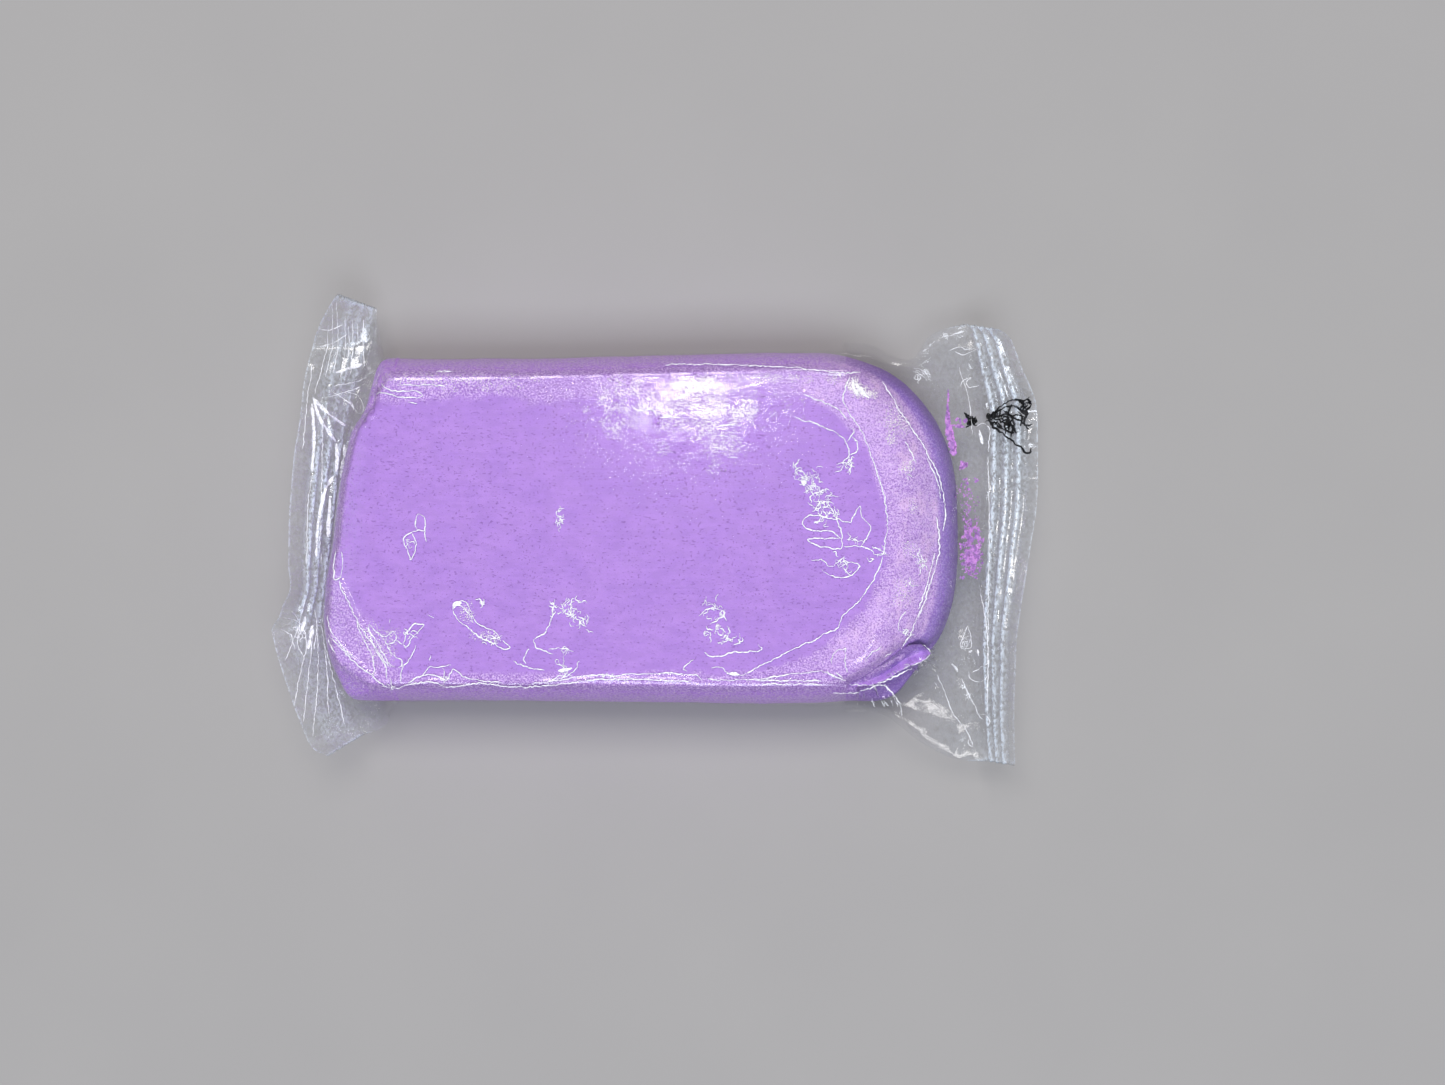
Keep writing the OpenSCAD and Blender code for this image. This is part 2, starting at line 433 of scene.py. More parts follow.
def ink_material():
    """Black print, worn through in places."""
    n = Nodes("print_ink")
    worn = n.noise((900, 900, 900), 3)
    tone = n.colour(n.ramp(worn, 0.5, 0.75), (0.004, 0.004, 0.005, 1), (0.03, 0.03, 0.035, 1))
    shader = n.add(
        "ShaderNodeBsdfPrincipled",
        {"Base Color": tone, "Roughness": 0.6, "Specular IOR Level": 0.15},
    )
    return n.finish(shader.outputs[0])


def floor_material():
    """The plain pale table."""
    n = Nodes("floor")
    tone = n.colour(n.noise((30, 30, 30), 3), (0.40, 0.39, 0.385, 1), (0.43, 0.42, 0.41, 1))
    shader = n.add(
        "ShaderNodeBsdfPrincipled",
        {"Base Color": tone, "Roughness": 0.8, "Specular IOR Level": 0.2},
    )
    return n.finish(shader.outputs[0])


CLAY = clay_material()
FILM = film_material()
GLINT = glint_material()
INK = ink_material()
SMEAR = smear_material()


# ------------------------------------------------------------------- the cake

# How finely the clay is drawn: points along each stretch of a ring, and rings on each part of it.
NOSE_POINTS, SIDE_POINTS, TAIL_POINTS = 240, 130, 130
UNDER_RINGS, FOOT_RINGS, WALL_RINGS, TOP_RINGS = 12, 8, 22, 34
CORNER_SOFTENING = 10

# The cut end's outline: a torn +Y corner, a slanting cut and a blunt -Y corner.
TAIL_ROUTE = (
    (-39.8, 25.0), (-42.2, 17.2), (-44.3, 14.4), (-45.7, 7.5), (-46.4, -1.5),
    (-47.6, -7.5), (-47.9, -13.0), (-47.1, -18.2), (-44.6, -25.0),
)


def outline(nose, side, tail):
    """The cake's outline from above, moved in by each inset. It starts at the nose's -Y end."""
    half = HALF_WIDTH - side
    reach = NOSE_TIP - NOSE_START - nose
    a = np.linspace(-math.pi / 2, math.pi / 2, NOSE_POINTS, endpoint=False)
    power = 2 / NOSE_POWER
    arc = np.stack(
        [
            NOSE_START + reach * np.abs(np.cos(a)) ** power,
            half * np.sign(np.sin(a)) * np.abs(np.sin(a)) ** power,
        ],
        axis=1,
    )
    corners = [(NOSE_START, half), (TAIL_ROUTE[0][0] + tail, half)]
    corners += [(x + tail, y) for x, y in TAIL_ROUTE[1:-1]]
    corners += [(TAIL_ROUTE[-1][0] + tail, -half), (NOSE_START, -half)]
    corners = np.array(corners, float)
    lengths = np.linalg.norm(np.diff(corners, axis=0), axis=1)
    along = np.concatenate([[0], np.cumsum(lengths)])
    counts = SIDE_POINTS + TAIL_POINTS + SIDE_POINTS
    at = np.linspace(0, along[-1], counts, endpoint=False)
    rest = np.stack([np.interp(at, along, corners[:, k]) for k in (0, 1)], axis=1)
    return np.concatenate([arc, rest])


def rounded(ring, passes):
    """A closed ring with its corners softened."""
    for _ in range(passes):
        ring = 0.5 * ring + 0.25 * (np.roll(ring, 1, 0) + np.roll(ring, -1, 0))
    return ring


def cake_rings():
    """Rings from the middle of the underside, over the sides, to the middle of the top."""
    count = NOSE_POINTS + 2 * SIDE_POINTS + TAIL_POINTS
    index = np.arange(count)
    nose = smooth(np.minimum(index, NOSE_POINTS - index), 12, 70)[:, None]
    rings = []

    def ring(inset, z, spread=1.0):
        """Adds one ring at height z, drawn in towards the cake's spine where spread is below 1."""
        flat = rounded(outline(*inset), CORNER_SOFTENING)
        spine = np.stack([np.clip(flat[:, 0], -22, 20), 0 * flat[:, 1]], axis=1)
        flat = spine + (flat - spine) * spread
        rings.append(np.concatenate([flat, np.broadcast_to(z, (count, 1))], axis=1))

    for share in np.linspace(0.02, 0.97, UNDER_RINGS):
        ring((FOOT_INSET,) * 3, BASE, share)
    for a in np.radians(np.linspace(-90, -9, FOOT_RINGS)):
        share = 1 - math.cos(a)
        ring((FOOT_INSET * share,) * 3, BELLY + (BELLY - BASE) * math.sin(a))
    for q in np.linspace(0, 1, WALL_RINGS):
        a = q * math.pi / 2
        side_z = BELLY + (TOP - BELLY) * math.sin(a) ** SIDE_POWER
        wall = min(q / 0.5, 1)
        slope = max((q - 0.5) / 0.5, 0)
        nose_z = BELLY + (NOSE_CREASE - BELLY) * math.sin(wall * math.pi / 2) ** 0.9
        nose_z += (TOP - NOSE_CREASE) * (1 - (1 - slope) ** 1.9)
        nose_in = NOSE_WALL * wall ** 1.8 + (NOSE_BEVEL - NOSE_WALL) * slope
        z = nose * nose_z + (1 - nose) * side_z
        share = 1 - max(math.cos(a), 0) ** SIDE_POWER
        ring((nose_in, SIDE_INSET * share, TAIL_INSET * share ** 1.6), z)
    for share in np.linspace(0.985, 0.02, TOP_RINGS):
        ring((NOSE_BEVEL, SIDE_INSET, TAIL_INSET), TOP, share)
    return np.array(rings)


def beyond(points, a, b):
    """How far each point lies beyond the line from a to b, on its right-hand side."""
    a, b = np.array(a, float), np.array(b, float)
    along = (b - a) / np.linalg.norm(b - a)
    return (points[:, :2] - a) @ np.array([along[1], -along[0]])


def widened(p):
    """The pack is a little wider near the nose, most of all on its +Y side."""
    wide = smooth(p[:, 0], -35, 26) * smooth(p[:, 0], 46, 34)
    share = np.where(p[:, 1] > 0, 0.046, 0.022)
    q = p.copy()
    q[:, 1] *= 1 + share * wide
    return q


def cake_surface(points):
    """The cake's small shapes: a low corner, a hollow under the lip, a bulge and a ragged cut edge."""
    p = widened(points)
    upper = smooth(p[:, 2], BASE + 2, TOP - 2)
    low_corner = beyond(p, (-47.4, -17.4), (-36.6, -24.4))
    p[:, 2] = np.where(low_corner < 0, p[:, 2], np.minimum(p[:, 2], TOP - 0.3 - 1.5 * low_corner))
    under_lip = smooth(beyond(p, (30.0, -21.6), (38.6, -16.5)), 0.0, 1.0) * smooth(p[:, 0], 29.5, 33.5)
    p[:, 2] -= 2.3 * under_lip * smooth(p[:, 2], 8, 12)
    valley = distance_to(p, LIP_INNER)
    p[:, 2] -= 1.5 * np.exp(-((valley / 0.7) ** 2)) * smooth(p[:, 2], 8, 11)
    bulge = np.exp(-((np.hypot(p[:, 0] - 34.0, p[:, 1] + 23.5) / 4.2) ** 2))
    bulge *= smooth(p[:, 2], 13.0, 9.5)
    bulge *= smooth(p[:, 2], BASE, BASE + 1.5)
    p[:, 0] += 0.6 * bulge
    p[:, 1] -= 1.3 * bulge
    sag = noise(p, 14, 3) * 0.35 + noise(p, 5, 4) * 0.12 + noise(p, 1.8, 10) * 0.05
    level = np.zeros(len(p))
    outward = np.stack([p[:, 0] / NOSE_TIP, p[:, 1] / HALF_WIDTH, level], axis=1)
    p += outward * (sag * smooth(p[:, 2], BASE, BASE + 1) * 0.8)[:, None]
    p[:, 2] += upper * (noise(p[:, :2], 17, 5) * 0.10 + noise(p[:, :2], 6, 6) * 0.02)
    at_cut = smooth(p[:, 0] - tail_x(p[:, 1]), 3.2, 1.0) * smooth(p[:, 2], TOP - 6, TOP - 0.5)
    ragged = at_cut * (0.12 + 0.88 * smooth(p[:, 1], 12, 16))
    p[:, 0] += ragged * np.abs(noise(p, 0.9, 7)) * 1.3
    p[:, 2] -= ragged * np.abs(noise(p, 1.1, 8)) * 1.2
    return p


def tail_x(y):
    """Where the cut end stands for each y."""
    route = np.array(TAIL_ROUTE[::-1])
    return np.interp(y, route[:, 1], route[:, 0])


def distance_to(points, route):
    """How far each point lies from a route in plan."""
    route = np.array(route, float)
    best = np.full(len(points), 1e9)
    for a, b in zip(route[:-1], route[1:]):
        d = b - a
        t = np.clip(((points[:, :2] - a) @ d) / (d @ d), 0, 1)
        best = np.minimum(best, np.linalg.norm(points[:, :2] - a - d * t[:, None], axis=1))
    return best


LIP_INNER = (
    (28.8, -22.3), (30.5, -21.2), (32.6, -19.7), (34.5, -18.4), (36.0, -17.3), (37.4, -16.6),
    (39.0, -16.5),
)
LIP_OUTER = (
    (28.8, -22.6), (31.6, -22.4), (33.8, -21.7), (35.8, -20.5), (37.8, -19.5), (39.5, -18.8),
    (40.4, -17.8),
)
LIP_ROWS, LIP_COLUMNS = 48, 16
LIP_FOLD = 0.55  # the share of the lip's columns on its inner side


def flap_lip():
    """The tongue of clay that has curled over at the nose's -Y corner, as a closed leaf."""
    rows, columns = LIP_ROWS, LIP_COLUMNS
    s = np.linspace(0, 1, rows)
    knots = np.linspace(0, 1, len(LIP_INNER))
    inner = curve(LIP_INNER, knots, s)
    outer = curve(LIP_OUTER, knots, s)
    c = np.linspace(0, 1, columns)
    plan = inner[:, None] + (outer - inner)[:, None] * c[None, :, None]
    round_end = smooth(s, 1.0, 0.9)[:, None]
    deep = smooth(s, 0.02, 0.4)[:, None] * (0.45 + 0.55 * round_end)
    fall = np.interp(c, (0, 0.5, 0.62, 0.93, 1), (0, -2.1, -2.15, -1.35, -1.6))[None, :]
    z = 13.3 + 0.4 * smooth(s, 0.0, 0.4)[:, None] + fall * deep
    across = np.sin(math.pi * np.clip(c, 0.04, 0.96))[None, :] ** 0.5
    thick = 0.25 + 2.2 * across * np.sqrt(np.clip(s * 4, 0.05, 1))[:, None]
    top = np.concatenate([plan, z[:, :, None]], axis=2).reshape(-1, 3)
    low = top.copy()
    low[:, 2] -= thick.ravel()
    return closed_slab(top, low, rows, columns)


def closed_slab(top, low, rows, columns):
    """A closed solid between two grids of points."""
    n = rows * columns
    faces = [tuple(reversed(f)) for f in grid_faces(rows, columns)]
    under = [tuple(n + i for i in reversed(f)) for f in faces]
    rim = list(range(columns)) + [r * columns + columns - 1 for r in range(1, rows)]
    rim += [(rows - 1) * columns + c for c in range(columns - 2, -1, -1)]
    rim += [r * columns for r in range(rows - 2, 0, -1)]
    walls = [(rim[i], rim[i - 1], n + rim[i - 1], n + rim[i]) for i in range(len(rim))]
    return np.concatenate([top, low]), faces + under + walls


def nose_oval(p, half):
    """1 on the oval where film leaves the flat top near the nose, and less inside it.

    half is half the oval's width.
    """
    return (np.clip(p[:, 0] - 8, 0, None) / 25.6) ** 2.2 + (np.abs(p[:, 1]) / half) ** 2.2


def clings(p):
    """1 where film clings to the top of the clay, and 0 where air lies between."""
    fine = noise(p[:, :2], 1.1, 22)
    wobble = noise(p[:, :2], 5, 21) * 0.05 + fine * 0.025
    nose = nose_oval(p, np.where(p[:, 1] > 0, 21.9, 20.6))
    top_edge = 18.9 + 1.9 * smooth(p[:, 0], 8.5, 12) + 1.2 * noise(p[:, :2], 7, 23) + 0.5 * fine
    top_edge -= 3.2 * smooth(np.abs(p[:, 0] - 1), 11, 6) * smooth(noise(p[:, :2], 4.5, 24), -0.3, 0.4)
    inside = smooth(1 + wobble - nose, -0.01, 0.012)
    inside *= smooth(top_edge - p[:, 1], -0.3, 0.4)
    inside *= smooth(beyond(p, (-45.0, -7.0), (-36.6, -20.0)) + 0.5 * fine, 0.3, -0.3)
    inside *= smooth(p[:, 0] - tail_x(p[:, 1]), 1.4, 2.2)
    return inside * smooth(p[:, 2], TOP - 1.0, TOP - 0.5)


def painted_bevel_light(p):
    """Painted light on the clay: only on the nose's bevel, and less beside the curled lip."""
    nose = nose_oval(p, 20.6)
    bevel = smooth(nose, 1.0, 1.15) * smooth(p[:, 0], 18, 28)
    bevel *= smooth(p[:, 2], NOSE_CREASE - 0.2, NOSE_CREASE + 0.5)
    return bevel * (0.75 + 0.35 * noise(p, 3.5, 26)) * smooth(p[:, 1], -22.0, -17.0)


def make_cake():
    """The clay, with its curled lip, and the points and faces that the film is drawn over."""
    rings = cake_rings()
    rows, columns = rings.shape[:2]
    points = cake_surface(rings.reshape(-1, 3))
    faces = grid_faces(rows, columns, closed=True)
    faces.append(tuple(range(columns - 1, -1, -1)))
    faces.append(tuple((rows - 1) * columns + c for c in range(columns)))
    pale = painted_bevel_light(points)
    lip_points, lip_faces = flap_lip()
    shift = len(points)
    points, faces = joined([(points, faces), (lip_points, lip_faces)])
    obj = make_mesh("clay_cake", points, faces, CLAY)
    inner_half = np.tile(np.arange(LIP_COLUMNS) < LIP_COLUMNS * LIP_FOLD, 2 * LIP_ROWS).astype(float)
    dry = 1 - clings(points)
    dry[shift:] = inner_half
    paint(obj, "dry", dry)
    # Painted light: the steep sides just below the top edge, back from the nose.
    low = smooth(points[:, 2], TOP - 0.5, TOP - 2.2)
    paint(obj, "strip", low * smooth(points[:, 0], 33, 20))
    # Painted shade: the nose wall below the crease, and more faintly the curled lip's inner half.
    wall = smooth(points[:, 0], 24, 36) * smooth(points[:, 2], NOSE_CREASE + 0.30, NOSE_CREASE - 0.15)
    wall[shift:] = 0.6 * inner_half
    paint(obj, "wall", wall)
    paint(obj, "pale", np.concatenate([pale, np.zeros(len(lip_points))]))
    return obj, points, faces


# ------------------------------------------------------------------- the film


def girth_section(count):
    """Half of the sleeve's section as (y, z): the top's middle to the fold, then the fold to the
    underside's middle."""
    a = np.radians(np.linspace(90, -90, 60))
    power = np.where(a > 0, SIDE_POWER, 1)
    side = np.where(a > 0, SIDE_INSET, FOOT_INSET) * (1 - np.abs(np.cos(a)) ** power)
    reach = np.where(a > 0, TOP + FILM_GAP - BELLY, BELLY - FILM_BASE)
    y = HALF_WIDTH + FILM_GAP - side
    z = BELLY + reach * np.sign(a) * np.abs(np.sin(a)) ** power
    line = np.concatenate([[[0, z[0]]], np.stack([y, z], axis=1), [[0, z[-1]]]])
    length = np.concatenate([[0], np.cumsum(np.linalg.norm(np.diff(line, axis=0), axis=1))])
    fold = np.interp(-FOLD_HEIGHT, -line[:, 1], length)
    order = np.arange(len(line))

    def spaced(start, end):
        """Points at even steps along the section between two lengths."""
        at = np.interp(np.linspace(start, end, count), length, order)
        return np.stack([np.interp(at, order, line[:, k]) for k in (0, 1)], axis=1)

    return spaced(0, fold), spaced(fold, length[-1])


def section_points():
    """(y, z) for each column of the top ply and of the bottom ply, from the +Y fold to the -Y fold."""
    top, bottom = girth_section(HALF_COLUMNS)
    upper = np.concatenate([top[::-1], top[1:] * (-1, 1)])
    lower = np.concatenate([bottom, bottom[:-1][::-1] * (-1, 1)])
    return upper, lower


HALF_SHARE = np.linspace(0, 1, HALF_COLUMNS)
# Where each column of a ply stands across the flattened film: 1 is the +Y fold and -1 the -Y fold.
SHARE = np.concatenate([HALF_SHARE[::-1], -HALF_SHARE[1:]])
UPPER, LOWER = section_points()

# Where each closure meets its seal, and the seal's cut edge, from above, at each of the knots
# across the flattened film.
RIGHT_KNOTS = (-1, -0.75, -0.5, -0.3, -0.1, 0.15, 0.4, 0.55, 0.65, 0.75, 0.87, 0.95, 1)
RIGHT_ROOT = (
    (49.2, -34.0), (48.5, -25.5), (48.1, -17.0), (48.3, -10.4), (48.6, -3.8), (49.0, 4.5), (49.1, 12.5),
    (49.0, 17.2), (48.5, 20.4), (47.8, 23.2), (47.1, 26.8), (46.6, 29.2), (46.2, 30.5),
)
RIGHT_EDGE = (
    (52.7, -34.2), (52.6, -26.0), (53.0, -16.6), (53.9, -10.2), (55.1, -3.6), (56.4, 4.8), (56.9, 12.8),
    (56.7, 17.6), (55.4, 20.9), (54.1, 23.4), (53.0, 26.2), (51.9, 28.3), (50.4, 29.3),
)
LEFT_KNOTS = (
    -1, -0.92, -0.8, -0.6, -0.48, -0.42, -0.38, -0.32, -0.28, -0.15, 0.1, 0.35, 0.55, 0.75, 0.88, 0.95,
    1,
)
LEFT_ROOT = (
    (-42.6, -30.0), (-43.6, -28.4), (-45.2, -25.0), (-47.3, -19.0), (-48.1, -15.2), (-48.3, -13.2),
    (-48.3, -12.0), (-48.2, -10.3), (-48.1, -9.0), (-47.5, -4.8), (-46.5, 3.0), (-45.5, 11.2),
    (-44.2, 17.6), (-42.4, 24.4), (-41.2, 28.8), (-40.8, 31.4), (-40.8, 32.8),
)
LEFT_EDGE = (
    (-47.0, -32.8), (-49.4, -31.8), (-51.4, -27.6), (-53.9, -20.6), (-55.2, -16.4), (-55.6, -14.2),
    (-54.4, -12.7), (-53.7, -10.9), (-52.8, -9.3), (-52.9, -5.0), (-52.8, 3.0), (-52.2, 11.2),
    (-51.3, 17.6), (-50.7, 24.2), (-49.6, 28.6), (-47.6, 31.8), (-45.7, 34.4),
)
# The film's two folded edges from the sleeve out to each seal, from above.
RIGHT_FOLDS = {
    1: (
        (28, 26.2), (32, 25.9), (35, 24.4), (37.6, 24.0), (39.0, 25.2), (40.2, 27.6), (43.0, 29.6),
        (46.2, 30.5),
    ),
    -1: (
        (28, -25.9), (31.5, -26.0), (34, -26.5), (36.4, -28.2), (39.2, -30.6), (43.0, -33.0),
        (46.1, -33.9), (49.2, -34.0),
    ),
}
LEFT_FOLDS = {
    1: (
        (-37, 25.2), (-38.6, 25.2), (-39.9, 25.6), (-40.3, 27.0), (-40.6, 29.4), (-40.8, 31.2),
        (-40.8, 32.8),
    ),
    -1: (
        (-37, -25.2), (-38.2, -25.6), (-38.9, -26.8), (-38.9, -28.2), (-39.8, -29.0), (-41.2, -29.6),
        (-42.6, -30.0),
    ),
}
SEAL_HEIGHT = RIGHT_HINGE[2]


def crimp_depth(right):
    """How deep the crimps are for each column: the cut end's seal is crumpled flat at its two ends."""
    if right:
        return np.ones(len(SHARE))
    return smooth(SHARE, -0.46, -0.34) * (1 - 0.75 * smooth(SHARE, 0.28, 0.5))


def crimped_part(run):
    """1 where a seal is crimped and 0 on its plain root and margin. run is the way past the root."""
    return smooth(run, -0.2, 0.2) * smooth(CRIMPED_RUN - run, -0.2, 0.2)


def seal_points(knots, root, edge, length):
    """The middle of a two-ply seal from its root to its cut edge, with its crimps, row by row."""
    at_root = curve(root, knots, SHARE)
    at_edge = curve(edge, knots, SHARE)
    plan = np.linalg.norm(at_edge - at_root, axis=1)
    rise = np.sqrt(np.clip(length ** 2 - plan ** 2, 0.05, None))
    start = np.concatenate([at_root, np.full((len(SHARE), 1), SEAL_HEIGHT)], axis=1)
    step = np.concatenate([at_edge - at_root, rise[:, None]], axis=1)
    out = step / np.linalg.norm(step, axis=1)[:, None]
    across = np.gradient(start, axis=0)
    across /= np.linalg.norm(across, axis=1)[:, None]
    normal = np.cross(across, out)
    normal *= np.sign(normal[:, 2])[:, None]
    s = np.linspace(0, length, SEAL_ROWS)[:, None]
    run = s - SEAL_ROOT
    wave = CRIMP_HEIGHT / 2 * np.sin(2 * math.pi * run / CRIMP_PITCH) * crimped_part(run)
    wave = wave * crimp_depth(edge is RIGHT_EDGE)
    points = start[None] + out[None] * s[:, :, None] + normal[None] * wave[:, :, None]
    return points, normal


def closure_points(right, root, upper, clay, rows):
    """One ply of a closure: from the sleeve's section, tight over the cake, to the seal's root."""
    section = UPPER if upper else LOWER
    start_x = RIGHT_CUT if right else LEFT_CUT
    folds = RIGHT_FOLDS if right else LEFT_FOLDS
    y0, z0 = section[:, 0], section[:, 1]
    s = np.linspace(0, 1, rows)[:, None]
    x = start_x + (root[:, 0] - start_x) * s
    y = y0 + (root[:, 1] - y0) * s
    for side in (1, -1):
        route = curve(folds[side], np.linspace(0, 1, len(folds[side])), s[:, 0])
        near_fold = smooth(side * SHARE, 0.55, 0.9)
        x += near_fold * (route[:, :1] - x)
        y += near_fold * (route[:, 1:] - y)
    ends = smooth(s, 0.8, 1.0)
    x += ends * (root[:, 0] - x)
    y += ends * (root[:, 1] - y)
    z = taut(x, y, z0, root[:, 2], s, clay, 1 if upper else -1)
    return np.stack([x, y, z], axis=2)


def taut(x, y, z0, z1, s, clay, side):
    """Heights of film drawn tight from z0, over (side 1) or under (side -1) the cake, to z1."""
    rows, columns = x.shape
    ground = np.full(x.shape, -float(RAY_START))
    down = Vector((0, 0, -side))
    for r in range(1, rows - 1):
        for c in range(columns):
            hit = clay.ray_cast(Vector((x[r, c], y[r, c], RAY_START * side)), down)[0]
            if hit is not None:
                ground[r, c] = side * hit.z + FILM_GAP * 0.6
    ground = np.minimum(ground, np.maximum(side * z0, side * z1)[None, :])
    ground[0] = side * z0
    ground[-1] = side * z1
    z = ground.copy()
    for c in range(columns):
        z[:, c] = np.interp(s[:, 0], *upper_hull(s[:, 0], ground[:, c]))
    return side * z


def upper_hull(x, z):
    """The points of the tight line over a profile."""
    keep = []
    for point in zip(x, z):
        while len(keep) > 1 and cross(keep[-2], keep[-1], point) >= 0:
            keep.pop()
        keep.append(point)
    keep = np.array(keep)
    return keep[:, 0], keep[:, 1]


def cross(a, b, c):
    """Above 0 where the way from a over b to c turns left."""
    return (b[0] - a[0]) * (c[1] - a[1]) - (b[1] - a[1]) * (c[0] - a[0])


def end_film(right, clay):
    """Both plies of a closure and its seal, as one folded sheet of rows from the sleeve outwards."""
    right_lines = (RIGHT_KNOTS, RIGHT_ROOT, RIGHT_EDGE)
    left_lines = (LEFT_KNOTS, LEFT_ROOT, LEFT_EDGE)
    knots, root, edge = right_lines if right else left_lines
    length = RIGHT_LENGTH if right else LEFT_LENGTH
    seal, normal = seal_points(knots, root, edge, length)
    rows = RIGHT_ROWS if right else LEFT_ROWS
    top = closure_points(right, seal[0] + normal * PLY, True, clay, rows)
    low = closure_points(right, seal[0] - normal * PLY, False, clay, rows)
    top = np.concatenate([top, seal[1:] + normal * PLY])
    low = np.concatenate([low, seal[1:] - normal * PLY])
    ring = np.concatenate([top, low[:, 1:-1][:, ::-1]], axis=1)
    return ring, rows


def sleeve_film():
    """The sleeve as rings of points, from the cut end to the nose."""
    x = np.linspace(LEFT_CUT, RIGHT_CUT, SLEEVE_ROWS)
    section = np.concatenate([UPPER, LOWER[1:-1][::-1]])
    ring = np.empty((SLEEVE_ROWS, len(section), 3))
    ring[:, :, 0] = x[:, None]
    ring[:, :, 1:] = section[None]
    return ring


def crease_lift(points, route, height, width):
    """How far film stands up along a crease through the points of route, seen from above."""
    return height * np.clip(1 - distance_to(points, route) / width, 0, 1) ** 1.5


CREASES = (
    # route, height, width
    (((-45.0, -7.2), (-42.4, -13.0), (-39.3, -17.6), (-38.0, -21.5)), 0.2, 0.9),
    (((-46.6, -15.0), (-43.3, -18.4), (-40.2, -20.9), (-37.5, -22.7)), 0.25, 0.9),
    (((-37.2, -22.9), (-31.0, -21.9), (-20.0, -22.5), (-8.0, -21.4), (6.0, -21.7)), 0.2, 0.8),
    (((15.8, -22.1), (24.4, -22.1), (28.4, -22.1)), 0.2, 0.7),
    (((2.0, 23.9), (18.0, 23.6), (30.2, 22.7)), 0.3, 0.7),
    (
        (
            (33.4, 21.5), (38.4, 13.4), (41.3, 8.4), (42.4, 2.0), (41.6, -2.6), (39.6, -9.6),
            (36.8, -15.9),
        ),
        0.35, 0.8,
    ),
    (((-47.6, 19.0), (-45.4, 17.2), (-43.5, 15.2)), 0.9, 0.9),
    (((-47.8, 18.8), (-47.2, 15.4), (-45.4, 12.8), (-45.4, 8.0)), 0.7, 0.8),
    (((-46.9, 21.2), (-43.0, 22.2), (-40.2, 23.4)), 0.8, 0.8),
    (((26.0, -23.4), (32.6, -22.8), (35.1, -23.8), (36.2, -27.0)), 0.6, 0.8),
    (((41.5, -21.0), (44.1, -27.0), (47.0, -31.8)), 0.6, 1.1),
    (((45.3, -21.8), (48.7, -28.0)), 0.6, 0.9), (((42.0, 28.2), (46.0, 29.7)), 0.5, 0.9),
    (((38.0, 23.4), (40.4, 22.2)), 0.6, 0.8), (((47.9, 14.8), (48.5, 12.6)), 0.6, 0.7),
)


def wrinkled(points, clay, free):
    """Film with its creases, slack and clearance from the cake. free is how loose each point is."""
    p = points.copy()
    up = smooth(p[:, 2], 4, 9)
    free = free * (1 - 0.97 * smooth(p[:, 2], 11.5, 15.0))
    lift = sum(crease_lift(p, *c) for c in CREASES)
    slack = ridged(p, (9, 7, 9), 31) * 0.5 + ridged(p, (5, 3, 5), 32) * 0.35 + noise(p, 3, 33) * 0.12
    p[:, 2] += up * lift + free * slack * 1.3
    p[:, 1] += free * noise(p, 6, 34) * 0.35
    p[:, 0] += free * noise(p, 6, 35) * 0.35
    p[:, 2] = np.maximum(p[:, 2], FILM_BASE)
    for i, point in enumerate(p):
        near, normal, _, _ = clay.find_nearest(Vector(point), 6.0)
        if near is None:
            continue
        side = (Vector(point) - near).dot(normal)
        if side < NEAREST:
            p[i] = near + normal * CLEAR
    return p


# Patches of painted glare, white dots standing in for light glinting off the film: middle, reach along
# X and Y, strength.
GLARE_PATCHES = (
    ((6.0, 20.9), (5.2, 1.5), 1.0), ((11.0, 16.9), (3.6, 1.5), 1.0), ((5.5, 18.0), (13.5, 5.0), 0.62),
    ((10.4, 12.4), (3.2, 3.6), 0.45), ((9.6, 12.2), (1.0, 0.9), 0.9), ((18.0, 21.9), (10.0, 0.8), 0.45),
    ((-2.0, 17.6), (2.2, 0.7), 0.8), ((2.2, 16.4), (1.2, 0.6), 0.9), ((28.9, 20.9), (0.9, 1.2), 1.0),
    ((29.9, 20.3), (1.2, 0.9), 1.0), ((31.2, 19.6), (1.5, 0.7), 0.9), ((34.5, 16.0), (2.6, 3.2), 0.45),
    ((34.4, 13.0), (1.2, 1.4), 0.6), ((37.0, 9.4), (1.3, 1.2), 0.6), ((37.6, 3.6), (1.0, 1.6), 0.45),
    ((37.4, -2.6), (1.6, 1.6), 0.45), ((36.0, -9.0), (1.6, 2.6), 0.35),
    ((-44.0, 21.0), (1.4, 0.9), 0.6), ((-30.0, 21.6), (13.0, 1.6), 0.26),
    ((-39.0, -16.6), (3.0, 3.4), 0.30), ((-26.6, -11.6), (1.2, 1.6), 0.45),
    ((-23.8, -15.2), (2.4, 0.9), 0.45),
)


def painted_glare(p):
    """How strongly glare is painted on the film as white dots, from above."""
    total = np.zeros(len(p))
    turned = np.stack([0.81 * p[:, 0] - 0.59 * p[:, 1], 0.59 * p[:, 0] + 0.81 * p[:, 1]], axis=1)
    ragged = 0.35 * noise(turned, 1.3, 71) + 0.35 * noise(p[:, :2], 3.1, 72)
    ragged = ragged + 0.2 * noise(turned, 0.7, 73)
    for (x, y), (wide, deep), strength in GLARE_PATCHES:
        far = np.hypot((p[:, 0] - x) / wide, (p[:, 1] - y) / deep)
        total = np.maximum(total, strength * smooth(far + ragged, 1.15, 0.3))
    return total * smooth(p[:, 2], 9, 12)


def make_film(name, ring, clay, free, haze_and_glint):
    """One skin of film from rings of points, and its points as they end up."""
    rows, columns = ring.shape[:2]
    points = wrinkled(widened(ring.reshape(-1, 3)), clay, free.ravel())
    obj = make_mesh(name, points, grid_faces(rows, columns, closed=True), FILM)
    paint(obj, "haze_and_glint", haze_and_glint.ravel())
    paint(obj, "painted_glare", painted_glare(points))
    return obj, points


